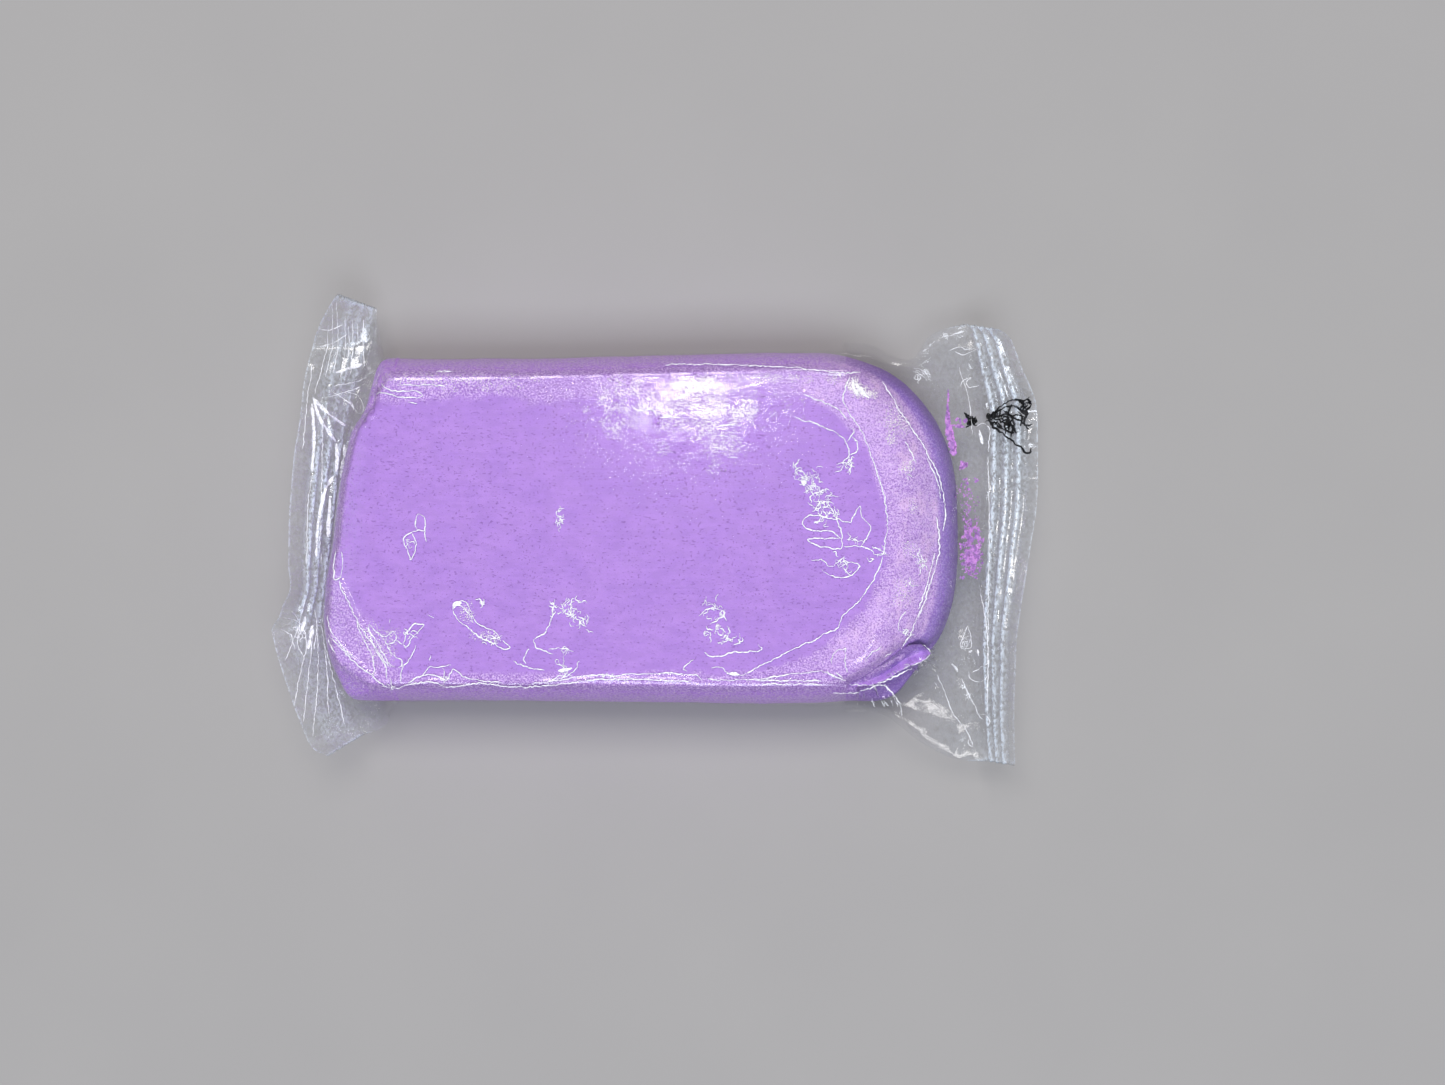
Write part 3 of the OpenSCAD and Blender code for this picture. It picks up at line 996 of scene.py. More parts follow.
def both_plies(values):
    """A value for each column of one ply, carried on round the other ply."""
    return np.concatenate([values, values[1:-1][::-1]])[None, :]


def film_pieces(clay):
    """The three film skins, each with its points: (object, points) under sleeve, left and right."""
    sleeve = sleeve_film()
    made = {}
    calm = np.full(sleeve.shape[:2], 0.04)
    made["sleeve"] = make_film("film_sleeve_skin", sleeve, clay, calm, np.zeros_like(calm))
    for right in (False, True):
        ring, closure_rows = end_film(right, clay)
        rows, columns = ring.shape[:2]
        row = np.repeat(np.arange(rows)[:, None], columns, axis=1)
        t = row / closure_rows
        fold = np.abs(both_plies(SHARE))
        free = smooth(t, 0.15, 0.7) * (0.24 + 0.46 * smooth(t, 1.06, 0.94))
        free = free * (1 - 0.6 * smooth(fold, 0.7, 0.95))
        length = RIGHT_LENGTH if right else LEFT_LENGTH
        run = np.clip(row - closure_rows + 1, 0, None) / (SEAL_ROWS - 1) * length - SEAL_ROOT
        crimped = crimped_part(run)
        depth = both_plies(crimp_depth(right))
        # Painted glints: white on one flank of each crimp and along the folded and cut edges stands in
        # for light catching them.
        ridge_glint = np.clip(np.sin(2 * math.pi * run / CRIMP_PITCH), 0, 1) ** 1.5 * crimped * depth
        edge_glint = smooth(fold, 0.975, 1.0) * smooth(t, 0.5, 0.8)
        edge_glint = edge_glint + smooth(run, length - SEAL_ROOT - 0.3, length - SEAL_ROOT)
        haze_and_glint = 0.09 * smooth(t, 0.3, 0.8) + 0.10 * crimped + 0.75 * ridge_glint + 0.5 * np.clip(edge_glint, 0, 1)
        name = "right_end_skin" if right else "left_end_skin"
        made["right" if right else "left"] = make_film(name, ring, clay, free, np.clip(haze_and_glint, 0, 1))
    return made


# ------------------------------------------------------------ folds with painted glints


def ribbon(line, width, height):
    """A thin tented strip along a line of points, as points and faces."""
    line = np.asarray(line, float)
    along = np.gradient(line, axis=0)
    along /= np.maximum(np.linalg.norm(along, axis=1), 1e-9)[:, None]
    across = np.stack([-along[:, 1], along[:, 0], 0 * along[:, 0]], axis=1)
    taper = np.minimum(1, 0.4 + np.minimum(np.arange(len(line)), np.arange(len(line))[::-1]) / 5)
    half = (width * 0.5 * taper * (1 + 0.6 * noise(line, 0.9, 41)))[:, None]
    peak = line + np.array([0, 0, height])
    points = np.stack([line - across * half, peak, line + across * half], axis=1).reshape(-1, 3)
    return points, grid_faces(len(line), 3)


def route_line(route, step=0.18, wobble=0.18, seed=1):
    """Points along a smooth route through a few plan points, with a slight wander."""
    route = np.array(route, float)
    knots = np.concatenate([[0], np.cumsum(np.linalg.norm(np.diff(route, axis=0), axis=1))])
    at = np.arange(0, knots[-1], step)
    line = curve(route, knots, at)
    wander = [0.7 * noise(line, 1.5, seed + k) + noise(line, 0.38, seed + k + 7) for k in (0, 1)]
    return line + wobble * np.stack(wander, axis=1)


def scribble(centre, size, strokes, seed):
    """Short wandering strokes, as where film clings in patches."""
    rng = np.random.default_rng(seed)
    lines = []
    for _ in range(strokes):
        at = np.array(centre) + rng.normal(0, 0.45, 2) * size
        heading = rng.uniform(0, 2 * math.pi)
        line = []
        for _ in range(int(rng.integers(4, 10))):
            line.append(at.copy())
            heading += rng.normal(0, 0.75)
            at = at + 0.2 * np.array([math.cos(heading), math.sin(heading)])
        lines.append(np.array(line))
    return lines


# Folds of the film, from above, drawn as strips with painted glints: each group is a tuple of routes.
CORNER_FOLDS = (
    (
        (-40.6, -13.6), (-38.1, -15.2), (-37.2, -14.6), (-36.7, -15.0), (-36.8, -15.8), (-37.3, -16.2),
        (-38.1, -16.1), (-38.1, -15.2),
    ),
    ((-36.7, -15.9), (-35.9, -16.3), (-35.6, -16.5)),
    (
        (-35.7, -16.3), (-35.1, -14.4), (-33.9, -13.4), (-32.7, -13.5), (-33.5, -14.5), (-34.5, -15.6),
        (-35.4, -17.0), (-35.7, -16.3),
    ),
    ((-38.0, -16.2), (-37.7, -17.2), (-36.8, -18.1), (-35.8, -19.0), (-36.0, -19.6), (-36.5, -19.8)),
    ((-33.9, -16.6), (-34.5, -18.0), (-35.2, -19.0), (-35.9, -19.9), (-36.0, -20.6), (-35.9, -21.8)),
    ((-40.6, -13.6), (-40.4, -15.0), (-39.8, -16.5), (-38.8, -18.0), (-37.9, -19.2), (-37.4, -19.9)),
    ((-41.0, -13.8), (-40.1, -15.2), (-38.8, -17.3), (-37.5, -19.2), (-36.7, -19.8)),
    ((-45.0, -7.2), (-43.2, -11.2), (-41.3, -14.6), (-39.3, -17.6), (-38.3, -19.3), (-38.0, -21.5)),
    ((-42.4, -13.0), (-41.5, -15.4), (-40.6, -17.0), (-40.1, -18.3), (-39.9, -21.0)),
    ((-46.7, -12.3), (-46.3, -14.0), (-44.8, -16.2), (-43.8, -17.4), (-42.8, -18.4)),
    (
        (-46.6, -15.0), (-44.6, -16.9), (-43.3, -18.4), (-41.8, -19.6), (-40.2, -20.9), (-38.8, -22.1),
        (-37.5, -22.7),
    ),
    ((-46.6, -15.5), (-46.0, -17.0), (-45.3, -17.7)),
    ((-45.6, -3.0), (-45.7, -6.0), (-45.5, -7.0), (-44.9, -6.8), (-44.6, -6.2), (-44.6, -3.0)),
    ((-33.6, 0.0), (-33.9, 0.9), (-33.4, 2.3), (-32.8, 2.0), (-32.5, 1.3), (-32.6, 0.0), (-32.4, -1.8)),
    (
        (-32.6, 0.0), (-33.6, 0.0), (-34.6, -0.3), (-35.5, -1.2), (-34.9, -3.4), (-34.7, -4.2),
        (-33.8, -2.2), (-34.5, -0.3),
    ),
    ((-32.1, -12.1), (-31.0, -12.7)), ((-37.5, -12.9), (-37.6, -13.4)),
    ((-31.7, -18.0), (-31.8, -18.8)),
    (
        (-28.6, -11.2), (-28.0, -10.3), (-26.8, -10.3), (-26.0, -11.4), (-25.2, -13.3), (-24.2, -13.8),
        (-22.8, -14.4), (-21.6, -16.0),
    ),
    (
        (-28.6, -11.2), (-28.0, -12.6), (-26.6, -13.8), (-25.0, -15.0), (-22.8, -16.2), (-20.8, -17.1),
        (-20.3, -16.9), (-21.6, -15.8),
    ),
    ((-28.4, -10.6), (-27.4, -10.8), (-26.4, -11.8), (-25.6, -13.2)),
    (
        (-40.0, 19.6), (-38.6, 19.8), (-37.4, 19.4), (-35.6, 19.1), (-33.6, 19.1), (-32.8, 19.4),
        (-33.4, 19.8), (-37.2, 20.1), (-39.2, 21.2),
    ),
    ((-35.0, 18.4), (-33.6, 18.2)),
    ((-2.9, 17.9), (-2.4, 17.2), (-1.2, 17.3), (0.4, 17.1), (0.9, 16.2)), ((1.3, 16.1), (3.3, 16.3)),
    ((9.4, 15.0), (12.2, 15.1)), ((9.6, 13.6), (11.0, 13.5)), ((8.8, 11.9), (10.2, 11.8)),
    ((11.0, 10.6), (12.6, 10.5)), ((-36.0, 20.9), (-29.6, 20.8)), ((-31.0, 22.9), (-28.8, 22.9)),
)
EDGE_FOLDS = (
    (
        (-37.2, -22.9), (-34.0, -22.0), (-31.0, -21.9), (-29.8, -22.4), (-25.0, -22.0), (-20.0, -22.5),
        (-14.0, -22.2), (-8.0, -21.4), (0.0, -21.5), (6.0, -21.7),
    ),
    (
        (-35.0, -21.9), (-33.2, -21.0), (-30.3, -21.1), (-29.6, -21.6), (-28.6, -20.0), (-26.8, -21.1),
        (-24.5, -21.6), (-21.5, -21.9),
    ),
    ((-33.1, -21.1), (-32.6, -20.5), (-31.7, -19.55), (-31.0, -19.75), (-28.8, -19.2)),
    ((-19.8, -18.9), (-17.5, -19.8), (-15.2, -20.3)), ((-17.6, -17.0), (-18.3, -18.6), (-18.0, -19.3)),
    ((-14.2, -10.6), (-14.2, -12.0), (-15.4, -14.8), (-16.9, -15.9), (-16.6, -16.6), (-14.0, -17.8)),
    ((-14.8, -17.1), (-12.8, -16.9), (-11.2, -17.4)),
    ((-17.0, -22.0), (-14.6, -21.7), (-13.4, -20.9), (-12.0, -20.6)),
    ((-14.6, -21.8), (-12.8, -21.2), (-11.2, -20.3), (-10.3, -18.7)),
    ((-13.6, -21.6), (-9.4, -20.9), (-4.0, -20.8), (3.5, -20.6), (6.8, -21.1), (7.4, -21.6)),
    ((5.9, -18.6), (5.0, -19.4), (4.7, -20.0), (5.3, -20.3)),
    ((8.7, -19.7), (9.8, -19.6), (11.0, -20.6), (13.6, -20.6)),
    ((7.6, -17.7), (8.4, -18.0), (11.6, -17.5), (15.8, -16.9), (15.3, -16.4)),
    ((6.8, -12.4), (8.6, -11.2), (10.6, -11.8), (8.3, -13.6)),
    ((8.0, -21.5), (17.0, -21.2), (19.5, -20.7), (22.0, -20.4), (24.6, -20.3), (27.0, -21.2)),
    ((15.8, -22.1), (24.4, -22.1)), ((15.0, -21.6), (24.5, -21.6)),
    ((2.0, 23.9), (10.0, 23.9), (20.0, 23.4), (28.6, 22.6), (30.2, 22.7)),
)
NOSE_FOLDS = (
    (
        (13.6, -20.6), (17.0, -18.8), (20.0, -17.4), (24.2, -15.2), (27.0, -13.6), (27.4, -12.7),
        (30.0, -9.9), (32.0, -6.8), (33.3, -3.5),
    ),
    (
        (33.3, -3.5), (33.9, 1.5), (33.1, 6.0), (31.5, 10.6), (30.4, 14.0), (28.3, 17.0), (27.6, 18.6),
        (28.4, 22.0),
    ),
    ((21.8, 19.4), (25.1, 18.3), (27.3, 16.9), (28.1, 15.8)),
    (
        (20.4, 16.4), (22.9, 15.5), (25.3, 14.6), (28.0, 12.6), (28.3, 10.8), (27.6, 9.9), (27.3, 8.8),
        (26.1, 8.2),
    ),
    ((28.0, 12.6), (28.7, 13.4), (29.1, 14.4), (28.5, 15.0)),
    ((28.7, 13.4), (29.5, 12.6), (29.6, 11.4), (28.4, 10.6)), ((28.3, 10.5), (28.6, 9.2), (28.3, 7.9)),
    ((27.0, 1.6), (22.0, 1.6), (21.7, 1.0), (23.6, -0.2), (25.4, 0.0), (27.2, -1.2)),
    (
        (27.0, -1.2), (22.5, -1.5), (23.6, -2.2), (25.4, -2.5), (27.3, -2.5), (27.4, -1.2), (26.4, 2.2),
        (24.9, 4.6),
    ),
    (
        (26.4, 1.7), (28.8, 1.3), (29.2, 2.3), (29.8, 3.4), (30.4, 1.6), (31.5, 0.4), (31.1, -0.6),
        (30.2, -2.2),
    ),
    ((27.6, -2.4), (30.2, -2.4), (31.4, -2.6), (32.1, -3.4), (33.3, -3.5), (33.4, -2.3), (33.0, -2.4)),
    ((30.8, -3.9), (31.4, -4.5), (31.9, -4.2), (31.2, -3.9)),
    ((22.9, -4.3), (24.2, -4.2), (26.0, -5.2), (27.3, -4.0)),
    ((24.6, -5.7), (25.4, -6.3), (28.8, -6.4), (29.8, -5.2), (27.6, -4.4)),
    ((33.4, 21.5), (35.5, 17.8), (38.4, 13.4), (40.4, 10.2), (41.9, 6.6), (42.4, 2.0), (42.2, 0.0)),
    ((39.8, 10.5), (40.9, 8.2), (41.9, 4.4)),
    ((41.1, 2.0), (41.6, -2.6), (40.6, -6.2), (39.6, -9.6), (38.3, -12.8)),
    ((40.9, -3.2), (40.4, -5.4), (39.4, -8.8), (38.4, -11.6)),
    ((36.6, 12.8), (37.8, 10.4), (38.2, 9.6)), ((37.3, -7.0), (37.2, -8.0), (38.4, -8.0)),
    ((36.6, -11.7), (35.5, -13.8), (35.6, -14.5), (36.0, -14.7)),
    ((38.9, -11.2), (37.9, -13.6), (36.8, -15.9), (36.0, -17.0)),
    ((33.2, -16.8), (30.8, -18.4), (30.6, -19.0)), ((34.6, -17.5), (33.6, -18.4)),
    ((25.9, -19.2), (25.8, -18.6), (26.2, -17.8), (27.0, -17.2), (28.0, -17.1), (27.6, -17.7)),
    ((27.8, -17.8), (27.9, -19.4), (28.2, -20.6)), ((25.2, -20.4), (28.0, -21.7)),
    ((26.6, -20.5), (27.6, -21.4)),
    ((28.4, -22.1), (31.4, -22.3), (33.2, -22.1), (35.6, -21.0), (37.8, -20.0)),
    (
        (37.6, -16.6), (39.4, -16.7), (40.3, -17.6), (39.5, -18.8), (37.8, -19.5), (35.8, -20.5),
        (33.8, -21.7),
    ),
    ((26.0, -23.4), (30.4, -23.2), (33.6, -22.6), (35.1, -23.8), (36.1, -25.6), (36.2, -27.0)),
)
BRIGHT_FOLDS = (
    ((28.9, 21.9), (29.1, 20.4), (29.9, 19.4)), ((29.3, 21.2), (30.2, 19.9), (31.4, 18.9)),
    ((10.8, -20.6), (12.6, -20.7)), ((-28.5, -11.4), (-28.2, -10.6), (-27.2, -10.4)),
    ((-13.4, -20.2), (-11.4, -19.8)),
)
# Folds of each closure and its seal, drawn with painted glints: fine ones, then broad ones.
TAIL_SEAL_FINE = (
    ((-48.1, 19.4), (-46.4, 20.0), (-44.4, 20.7), (-42.8, 21.4)),
    ((-45.6, 19.2), (-44.6, 18.9), (-44.0, 17.4)),
    (
        (-47.2, 20.5), (-45.4, 19.3), (-44.0, 18.0), (-42.9, 17.1), (-42.0, 17.3), (-42.3, 18.6),
        (-43.6, 19.9), (-45.0, 20.4),
    ),
    ((-46.9, 21.2), (-43.0, 22.2), (-40.2, 23.4)), ((-44.6, 14.6), (-43.9, 13.6)),
    ((-46.5, 33.6), (-47.2, 28.0), (-48.1, 22.4)), ((-46.0, 33.2), (-46.4, 28.0), (-47.0, 23.0)),
    ((-45.1, 31.5), (-45.5, 26.0), (-46.0, 22.5)), ((-44.2, 31.0), (-44.3, 27.0), (-44.6, 23.0)),
    ((-43.5, 30.5), (-43.6, 26.0)), ((-42.6, 31.0), (-42.8, 27.0), (-42.6, 24.0)),
    ((-44.8, 30.0), (-45.0, 25.0)), ((-47.5, 30.0), (-48.6, 24.0), (-49.6, 19.8)),
    ((-49.2, 29.6), (-47.5, 29.4), (-45.5, 30.2)), ((-49.0, 27.2), (-47.0, 27.7), (-45.0, 29.0)),
    ((-50.0, 24.4), (-50.3, 21.0), (-50.6, 17.0), (-51.0, 12.0)),
    ((-49.9, 8.0), (-50.4, 4.5), (-50.5, 0.0), (-50.6, -5.0)),
    ((-48.4, 16.0), (-48.6, 8.0), (-48.8, 0.0), (-48.9, -5.0)),
    ((-50.8, -10.0), (-52.0, -14.0), (-53.6, -19.0)), ((-50.6, -16.0), (-51.6, -21.0), (-52.2, -25.6)),
    ((-50.0, -14.0), (-50.4, -20.0), (-50.9, -28.0)), ((-49.4, -15.0), (-49.2, -22.0), (-49.6, -30.0)),
    ((-48.9, -14.0), (-48.1, -20.0), (-47.6, -27.0)), ((-48.4, -17.0), (-46.8, -23.0), (-45.4, -28.6)),
    ((-53.8, -12.6), (-52.2, -13.2), (-51.0, -15.6), (-50.9, -18.0)),
    ((-54.4, -14.4), (-53.0, -15.4), (-52.4, -17.4)),
    ((-52.6, -11.8), (-51.8, -13.6), (-52.1, -16.4), (-51.2, -18.6)),
    ((-49.8, -11.6), (-49.5, -14.6), (-49.9, -17.6)),
)
TAIL_SEAL_BROAD = (
    ((-49.8, 19.4), (-48.0, 17.6), (-46.4, 16.2), (-45.2, 15.4)),
    ((-49.6, 19.0), (-48.8, 16.5), (-47.6, 14.5), (-46.7, 13.0)),
    ((-46.6, 12.8), (-46.5, 10.5), (-46.7, 8.5)), ((-49.8, 18.6), (-49.6, 14.0), (-49.9, 8.4)),
    ((-47.0, 8.0), (-47.9, 6.6), (-48.6, 4.0), (-49.2, 0.0), (-49.4, -4.0)),
    ((-47.5, 5.0), (-47.7, 2.0), (-47.9, -1.0)), ((-44.2, 25.4), (-44.3, 23.8)),
    ((-46.6, 23.2), (-44.6, 24.0), (-42.8, 24.6)), ((-45.6, 12.6), (-45.5, 9.6), (-45.8, 7.6)),
    ((-51.0, -12.6), (-51.8, -15.2)), ((-50.2, -14.0), (-50.6, -17.4)),
)
NOSE_SEAL_FINE = (
    ((42.0, 28.2), (44.0, 28.8), (46.0, 29.7)),
    ((43.6, 26.4), (45.2, 27.0), (46.0, 26.6), (47.6, 26.9)),
    ((44.4, 26.3), (45.2, 25.9), (48.0, 26.9)),
    ((45.2, 21.0), (45.4, 21.8), (46.8, 22.5), (46.0, 21.6), (46.2, 21.2), (48.0, 21.3)),
    ((37.9, 23.6), (38.8, 23.6), (40.4, 22.4)), ((38.0, 23.2), (39.0, 22.7), (40.2, 21.8)),
    ((39.2, 23.4), (39.8, 22.2)),
    ((47.4, 15.2), (48.4, 15.8), (49.4, 15.4), (49.5, 13.0), (49.4, 11.6)),
    ((49.4, 11.0), (49.5, 4.0), (49.4, -8.0), (49.3, -14.0), (49.2, -27.0)),
    ((48.0, -8.0), (48.9, -13.0), (49.2, -16.0), (49.1, -25.0)),
    ((46.2, -13.9), (45.5, -15.4), (45.2, -17.2), (46.6, -17.2), (46.7, -15.8), (46.2, -13.9)),
    ((46.4, -20.8), (46.5, -21.6), (47.1, -22.1), (48.8, -22.0), (49.2, -21.4)),
    ((47.0, -20.8), (48.6, -20.0), (49.4, -19.2)),
    (
        (41.5, -21.0), (42.4, -22.9), (44.1, -27.0), (46.0, -29.4), (47.0, -31.8), (46.3, -31.2),
        (46.6, -30.6),
    ),
    ((45.3, -21.8), (46.8, -24.8), (48.3, -27.6), (48.7, -28.0)),
    ((45.6, -22.6), (46.4, -24.4), (47.2, -25.8)),
    ((48.1, -27.0), (48.9, -27.2), (49.5, -28.0), (49.3, -28.7)),
    ((45.0, 24.0), (46.4, 19.0), (46.9, 14.0)), ((50.6, 26.6), (51.6, 23.6), (52.4, 20.6)),
)
NOSE_SEAL_BROAD = (
    ((47.9, 14.8), (48.2, 13.6), (48.5, 12.6)), ((46.2, -17.9), (47.0, -17.5)),
    ((47.7, -17.5), (47.9, -18.4)), ((43.7, -19.5), (44.3, -20.0), (44.7, -20.8)),
    ((44.0, 28.9), (45.8, 29.4)), ((49.7, 25.5), (49.9, 25.0)), ((52.8, 9.6), (53.0, 9.0)),
)
# Patches of tiny folds, drawn with painted glints: centre, size, strokes.
STIPPLE = (
    ((20.9, 8.5), 0.7, 12), ((21.8, 7.2), 0.9, 16), ((22.8, 5.9), 1.0, 18), ((24.2, 5.5), 0.8, 12),
    ((23.3, 8.0), 0.9, 10), ((25.0, 4.0), 0.9, 14), ((23.8, 3.4), 1.0, 14), ((26.2, 2.2), 0.7, 8),
    ((28.2, 9.4), 0.7, 12), ((24.8, 1.6), 0.7, 8), ((27.4, -5.0), 1.2, 14), ((28.6, -1.4), 0.7, 6),
    ((33.0, -3.2), 0.6, 8), ((38.9, -4.6), 1.0, 12), ((-11.5, -10.6), 1.6, 18),
    ((-13.6, -11.0), 1.0, 7), ((-11.2, -12.4), 1.4, 12), ((-9.6, -13.4), 0.8, 8),
    ((-12.6, -20.0), 1.1, 14), ((-12.6, -17.0), 0.9, 7), ((8.4, -10.8), 1.6, 9), ((9.6, -11.8), 1.4, 9),
    ((9.2, -14.1), 0.8, 10), ((10.6, -15.6), 1.0, 12), ((8.2, -15.2), 0.5, 5), ((12.9, -15.5), 0.5, 4),
    ((-13.3, 1.6), 0.6, 10), ((-13.3, 3.0), 0.4, 5), ((-34.9, -14.8), 0.5, 6), ((-29.8, -21.0), 0.4, 5),
    ((-23.4, -15.6), 0.9, 8), ((-34.8, -2.0), 0.5, 6), ((-24.6, -10.6), 0.8, 4),
    ((-6.0, -21.1), 0.7, 6), ((-37.4, -22.4), 0.6, 8), ((37.0, -14.9), 0.8, 8), ((36.8, 8.4), 1.4, 5),
)

# How wide the painted fold glints are: fine and broad ones on the pack, then on the two ends.
PACK_FOLD_WIDTHS = (0.15, 0.5)
END_FOLD_WIDTHS = (0.11, 0.42)

NOSE_SEAL_STIPPLE = (((45.9, -16.2), 0.7, 12), ((38.8, 22.8), 0.6, 8))
TAIL_SEAL_STIPPLE = (((-51.6, -14.6), 1.3, 14),)


def wandering(routes, seed, wobble):
    """A wandering line along each route, each with its own seed."""
    return [route_line(route, seed=seed + 2 * i, wobble=wobble) for i, route in enumerate(routes)]


def fold_widths(fine, broad, widths):
    """A width for each line: the first of widths for the fine ones and the second for the broad."""
    return [widths[0]] * len(fine) + [widths[1]] * len(broad)


def fold_lines():
    """The film's fine lines of painted glint in plan, and the few broad ones."""
    fine = wandering(CORNER_FOLDS + EDGE_FOLDS + NOSE_FOLDS, 90, 0.13)
    for i, (centre, size, strokes) in enumerate(STIPPLE):
        fine += scribble(centre, size, strokes, 300 + i)
    broad = wandering(BRIGHT_FOLDS, 40, 0.05)
    return fine, broad


def seal_lines(right):
    """The same for one closure and its seal."""
    fine_routes = NOSE_SEAL_FINE if right else TAIL_SEAL_FINE
    broad_routes = NOSE_SEAL_BROAD if right else TAIL_SEAL_BROAD
    fine = wandering(fine_routes, 700, 0.08)
    broad = wandering(broad_routes, 800, 0.05)
    for centre, size, strokes in NOSE_SEAL_STIPPLE if right else TAIL_SEAL_STIPPLE:
        fine += scribble(centre, size, strokes, 900)
    return fine, broad


def top_of(tree, x, y):
    """The height of the highest face of tree at a place in plan, or None."""
    hit = tree.ray_cast(Vector((x, y, RAY_START)), Vector((0, 0, -1)))[0]
    return None if hit is None else hit.z


def laid(line, trees):
    """A plan line laid on the highest film below it."""
    placed = []
    for x, y in line:
        heights = [z for z in (top_of(tree, x, y) for tree in trees) if z is not None]
        if heights:
            placed.append((x, y, max(heights) + 0.02))
    return placed


def strips(name, lines, widths, trees, material, height=0.05):
    """Thin tented strips laid on the film along plan lines."""
    parts = []
    for line, width in zip(lines, widths):
        placed = laid(line, trees)
        if len(placed) > 2:
            parts.append(ribbon(placed, width, height))
    points, faces = joined(parts)
    return make_mesh(name, points, faces, material)


# ----------------------------------------------------------------- small parts


SEAM_ROWS, SEAM_COLUMNS = 210, 34
SEAM_PITCH = 1.2
SEAM_PLY = 0.05


def make_back_seam():
    """The folded seam along the underside: two plies pressed flat, with a fine crimp along it."""
    x = np.linspace(SEAM_LOW[0], SEAM_HIGH[0], SEAM_ROWS)
    y = np.linspace(SEAM_LOW[1], SEAM_HIGH[1], SEAM_COLUMNS)
    grid = np.stack(np.meshgrid(x, y, indexing="ij"), axis=2)
    rows, columns = grid.shape[:2]
    uneven = noise(grid.reshape(-1, 2), 5, 44).reshape(rows, columns)
    ripple = 0.04 * np.sin(2 * math.pi * grid[:, :, 1] / SEAM_PITCH) + 0.02 * uneven
    height = (SEAM_LOW[2] + SEAM_HIGH[2]) / 2
    top = np.concatenate([grid, (height + SEAM_PLY + ripple)[:, :, None]], axis=2).reshape(-1, 3)
    low = np.concatenate([grid, (height - SEAM_PLY + ripple)[:, :, None]], axis=2).reshape(-1, 3)
    low[:, 2] = np.maximum(low[:, 2], 0.0)
    points, faces = closed_slab(top, low, rows, columns)
    obj = make_mesh("back_seam_strip", points, faces, FILM)
    paint(obj, "haze_and_glint", np.full(len(points), 0.35))
    paint(obj, "painted_glare", np.zeros(len(points)))
    return obj


CRUMB_SIDES = 7


def crumb(centre, size, stretch, turn, rng):
    """One flat ragged crumb, as points and faces."""
    a = np.linspace(0, 2 * math.pi, CRUMB_SIDES, endpoint=False)
    radius = size * rng.uniform(0.55, 1.3, CRUMB_SIDES)
    u, v = radius * np.cos(a) * stretch, radius * np.sin(a)
    x = centre[0] + u * math.cos(turn) - v * math.sin(turn)
    y = centre[1] + u * math.sin(turn) + v * math.cos(turn)
    ring = np.stack([x, y, np.full(CRUMB_SIDES, centre[2])], axis=1)
    tips = np.array(centre) + np.array([[0, 0, 0.25 * size], [0, 0, -0.25 * size]])
    up = [(i, (i + 1) % CRUMB_SIDES, CRUMB_SIDES) for i in range(CRUMB_SIDES)]
    down = [(j, i, CRUMB_SIDES + 1) for i, j, _ in up]
    return np.concatenate([ring, tips]), up + down


# Smears of clay between the plies: middle, spread, how many, smallest and largest crumb.
SMEARS = (
    ((46.7, -3.0), (1.4, 3.0), 760, (0.06, 0.21)), ((46.4, 1.6), (1.1, 3.4), 240, (0.03, 0.12)),
    ((46.8, -3.8), (0.9, 2.2), 90, (0.08, 0.20)), ((45.6, 5.4), (1.1, 2.2), 60, (0.04, 0.12)),
    ((45.4, 9.5), (0.5, 0.5), 14, (0.12, 0.34)), ((46.2, 10.3), (0.4, 0.3), 4, (0.12, 0.25)),
    ((46.2, 7.0), (1.0, 0.5), 12, (0.08, 0.24)), ((44.7, 15.3), (1.0, 0.15), 13, (0.14, 0.28)),
    ((45.1, 16.2), (0.9, 0.2), 11, (0.12, 0.26)),
)
SLIVER = ((43.3, 20.4), (43.2, 18.6), (43.1, 16.8), (43.2, 15.0), (43.6, 13.2), (44.0, 11.4))


def make_crumbs(skin):
    """Crumbs, smears and one long sliver of clay that lie between the plies beside the nose."""
    rng = np.random.default_rng(5)
    parts = []
    for centre, spread, number, sizes in SMEARS:
        for _ in range(number):
            x, y = np.array(centre) + np.clip(rng.normal(0, 0.55, 2), -1.3, 1.3) * spread
            if noise([(x, y)], 0.55, 61)[0] < -0.3:
                continue
            size, stretch, turn = rng.uniform(*sizes), rng.uniform(0.8, 2.4), rng.normal(1.1, 0.6)
            z = top_of(skin, x, y)
            if z is not None:
                deep = 0.2 + 0.3 * size + rng.uniform(0, 0.12)
                parts.append(crumb((x, y, z - deep), size, stretch, turn, rng))
    for i, (x, y) in enumerate(route_line(SLIVER, step=0.3, wobble=0.1, seed=8)):
        z = top_of(skin, x, y)
        if z is not None:
            size = 0.16 + 0.38 * smooth(i, 4, 22)
            parts.append(crumb((x, y, z - 0.2 - 0.3 * size), size, 1.5, 1.5, rng))
    points, faces = joined(parts)
    return make_mesh("clay_crumbs", points, faces, SMEAR, smooth_faces=False)


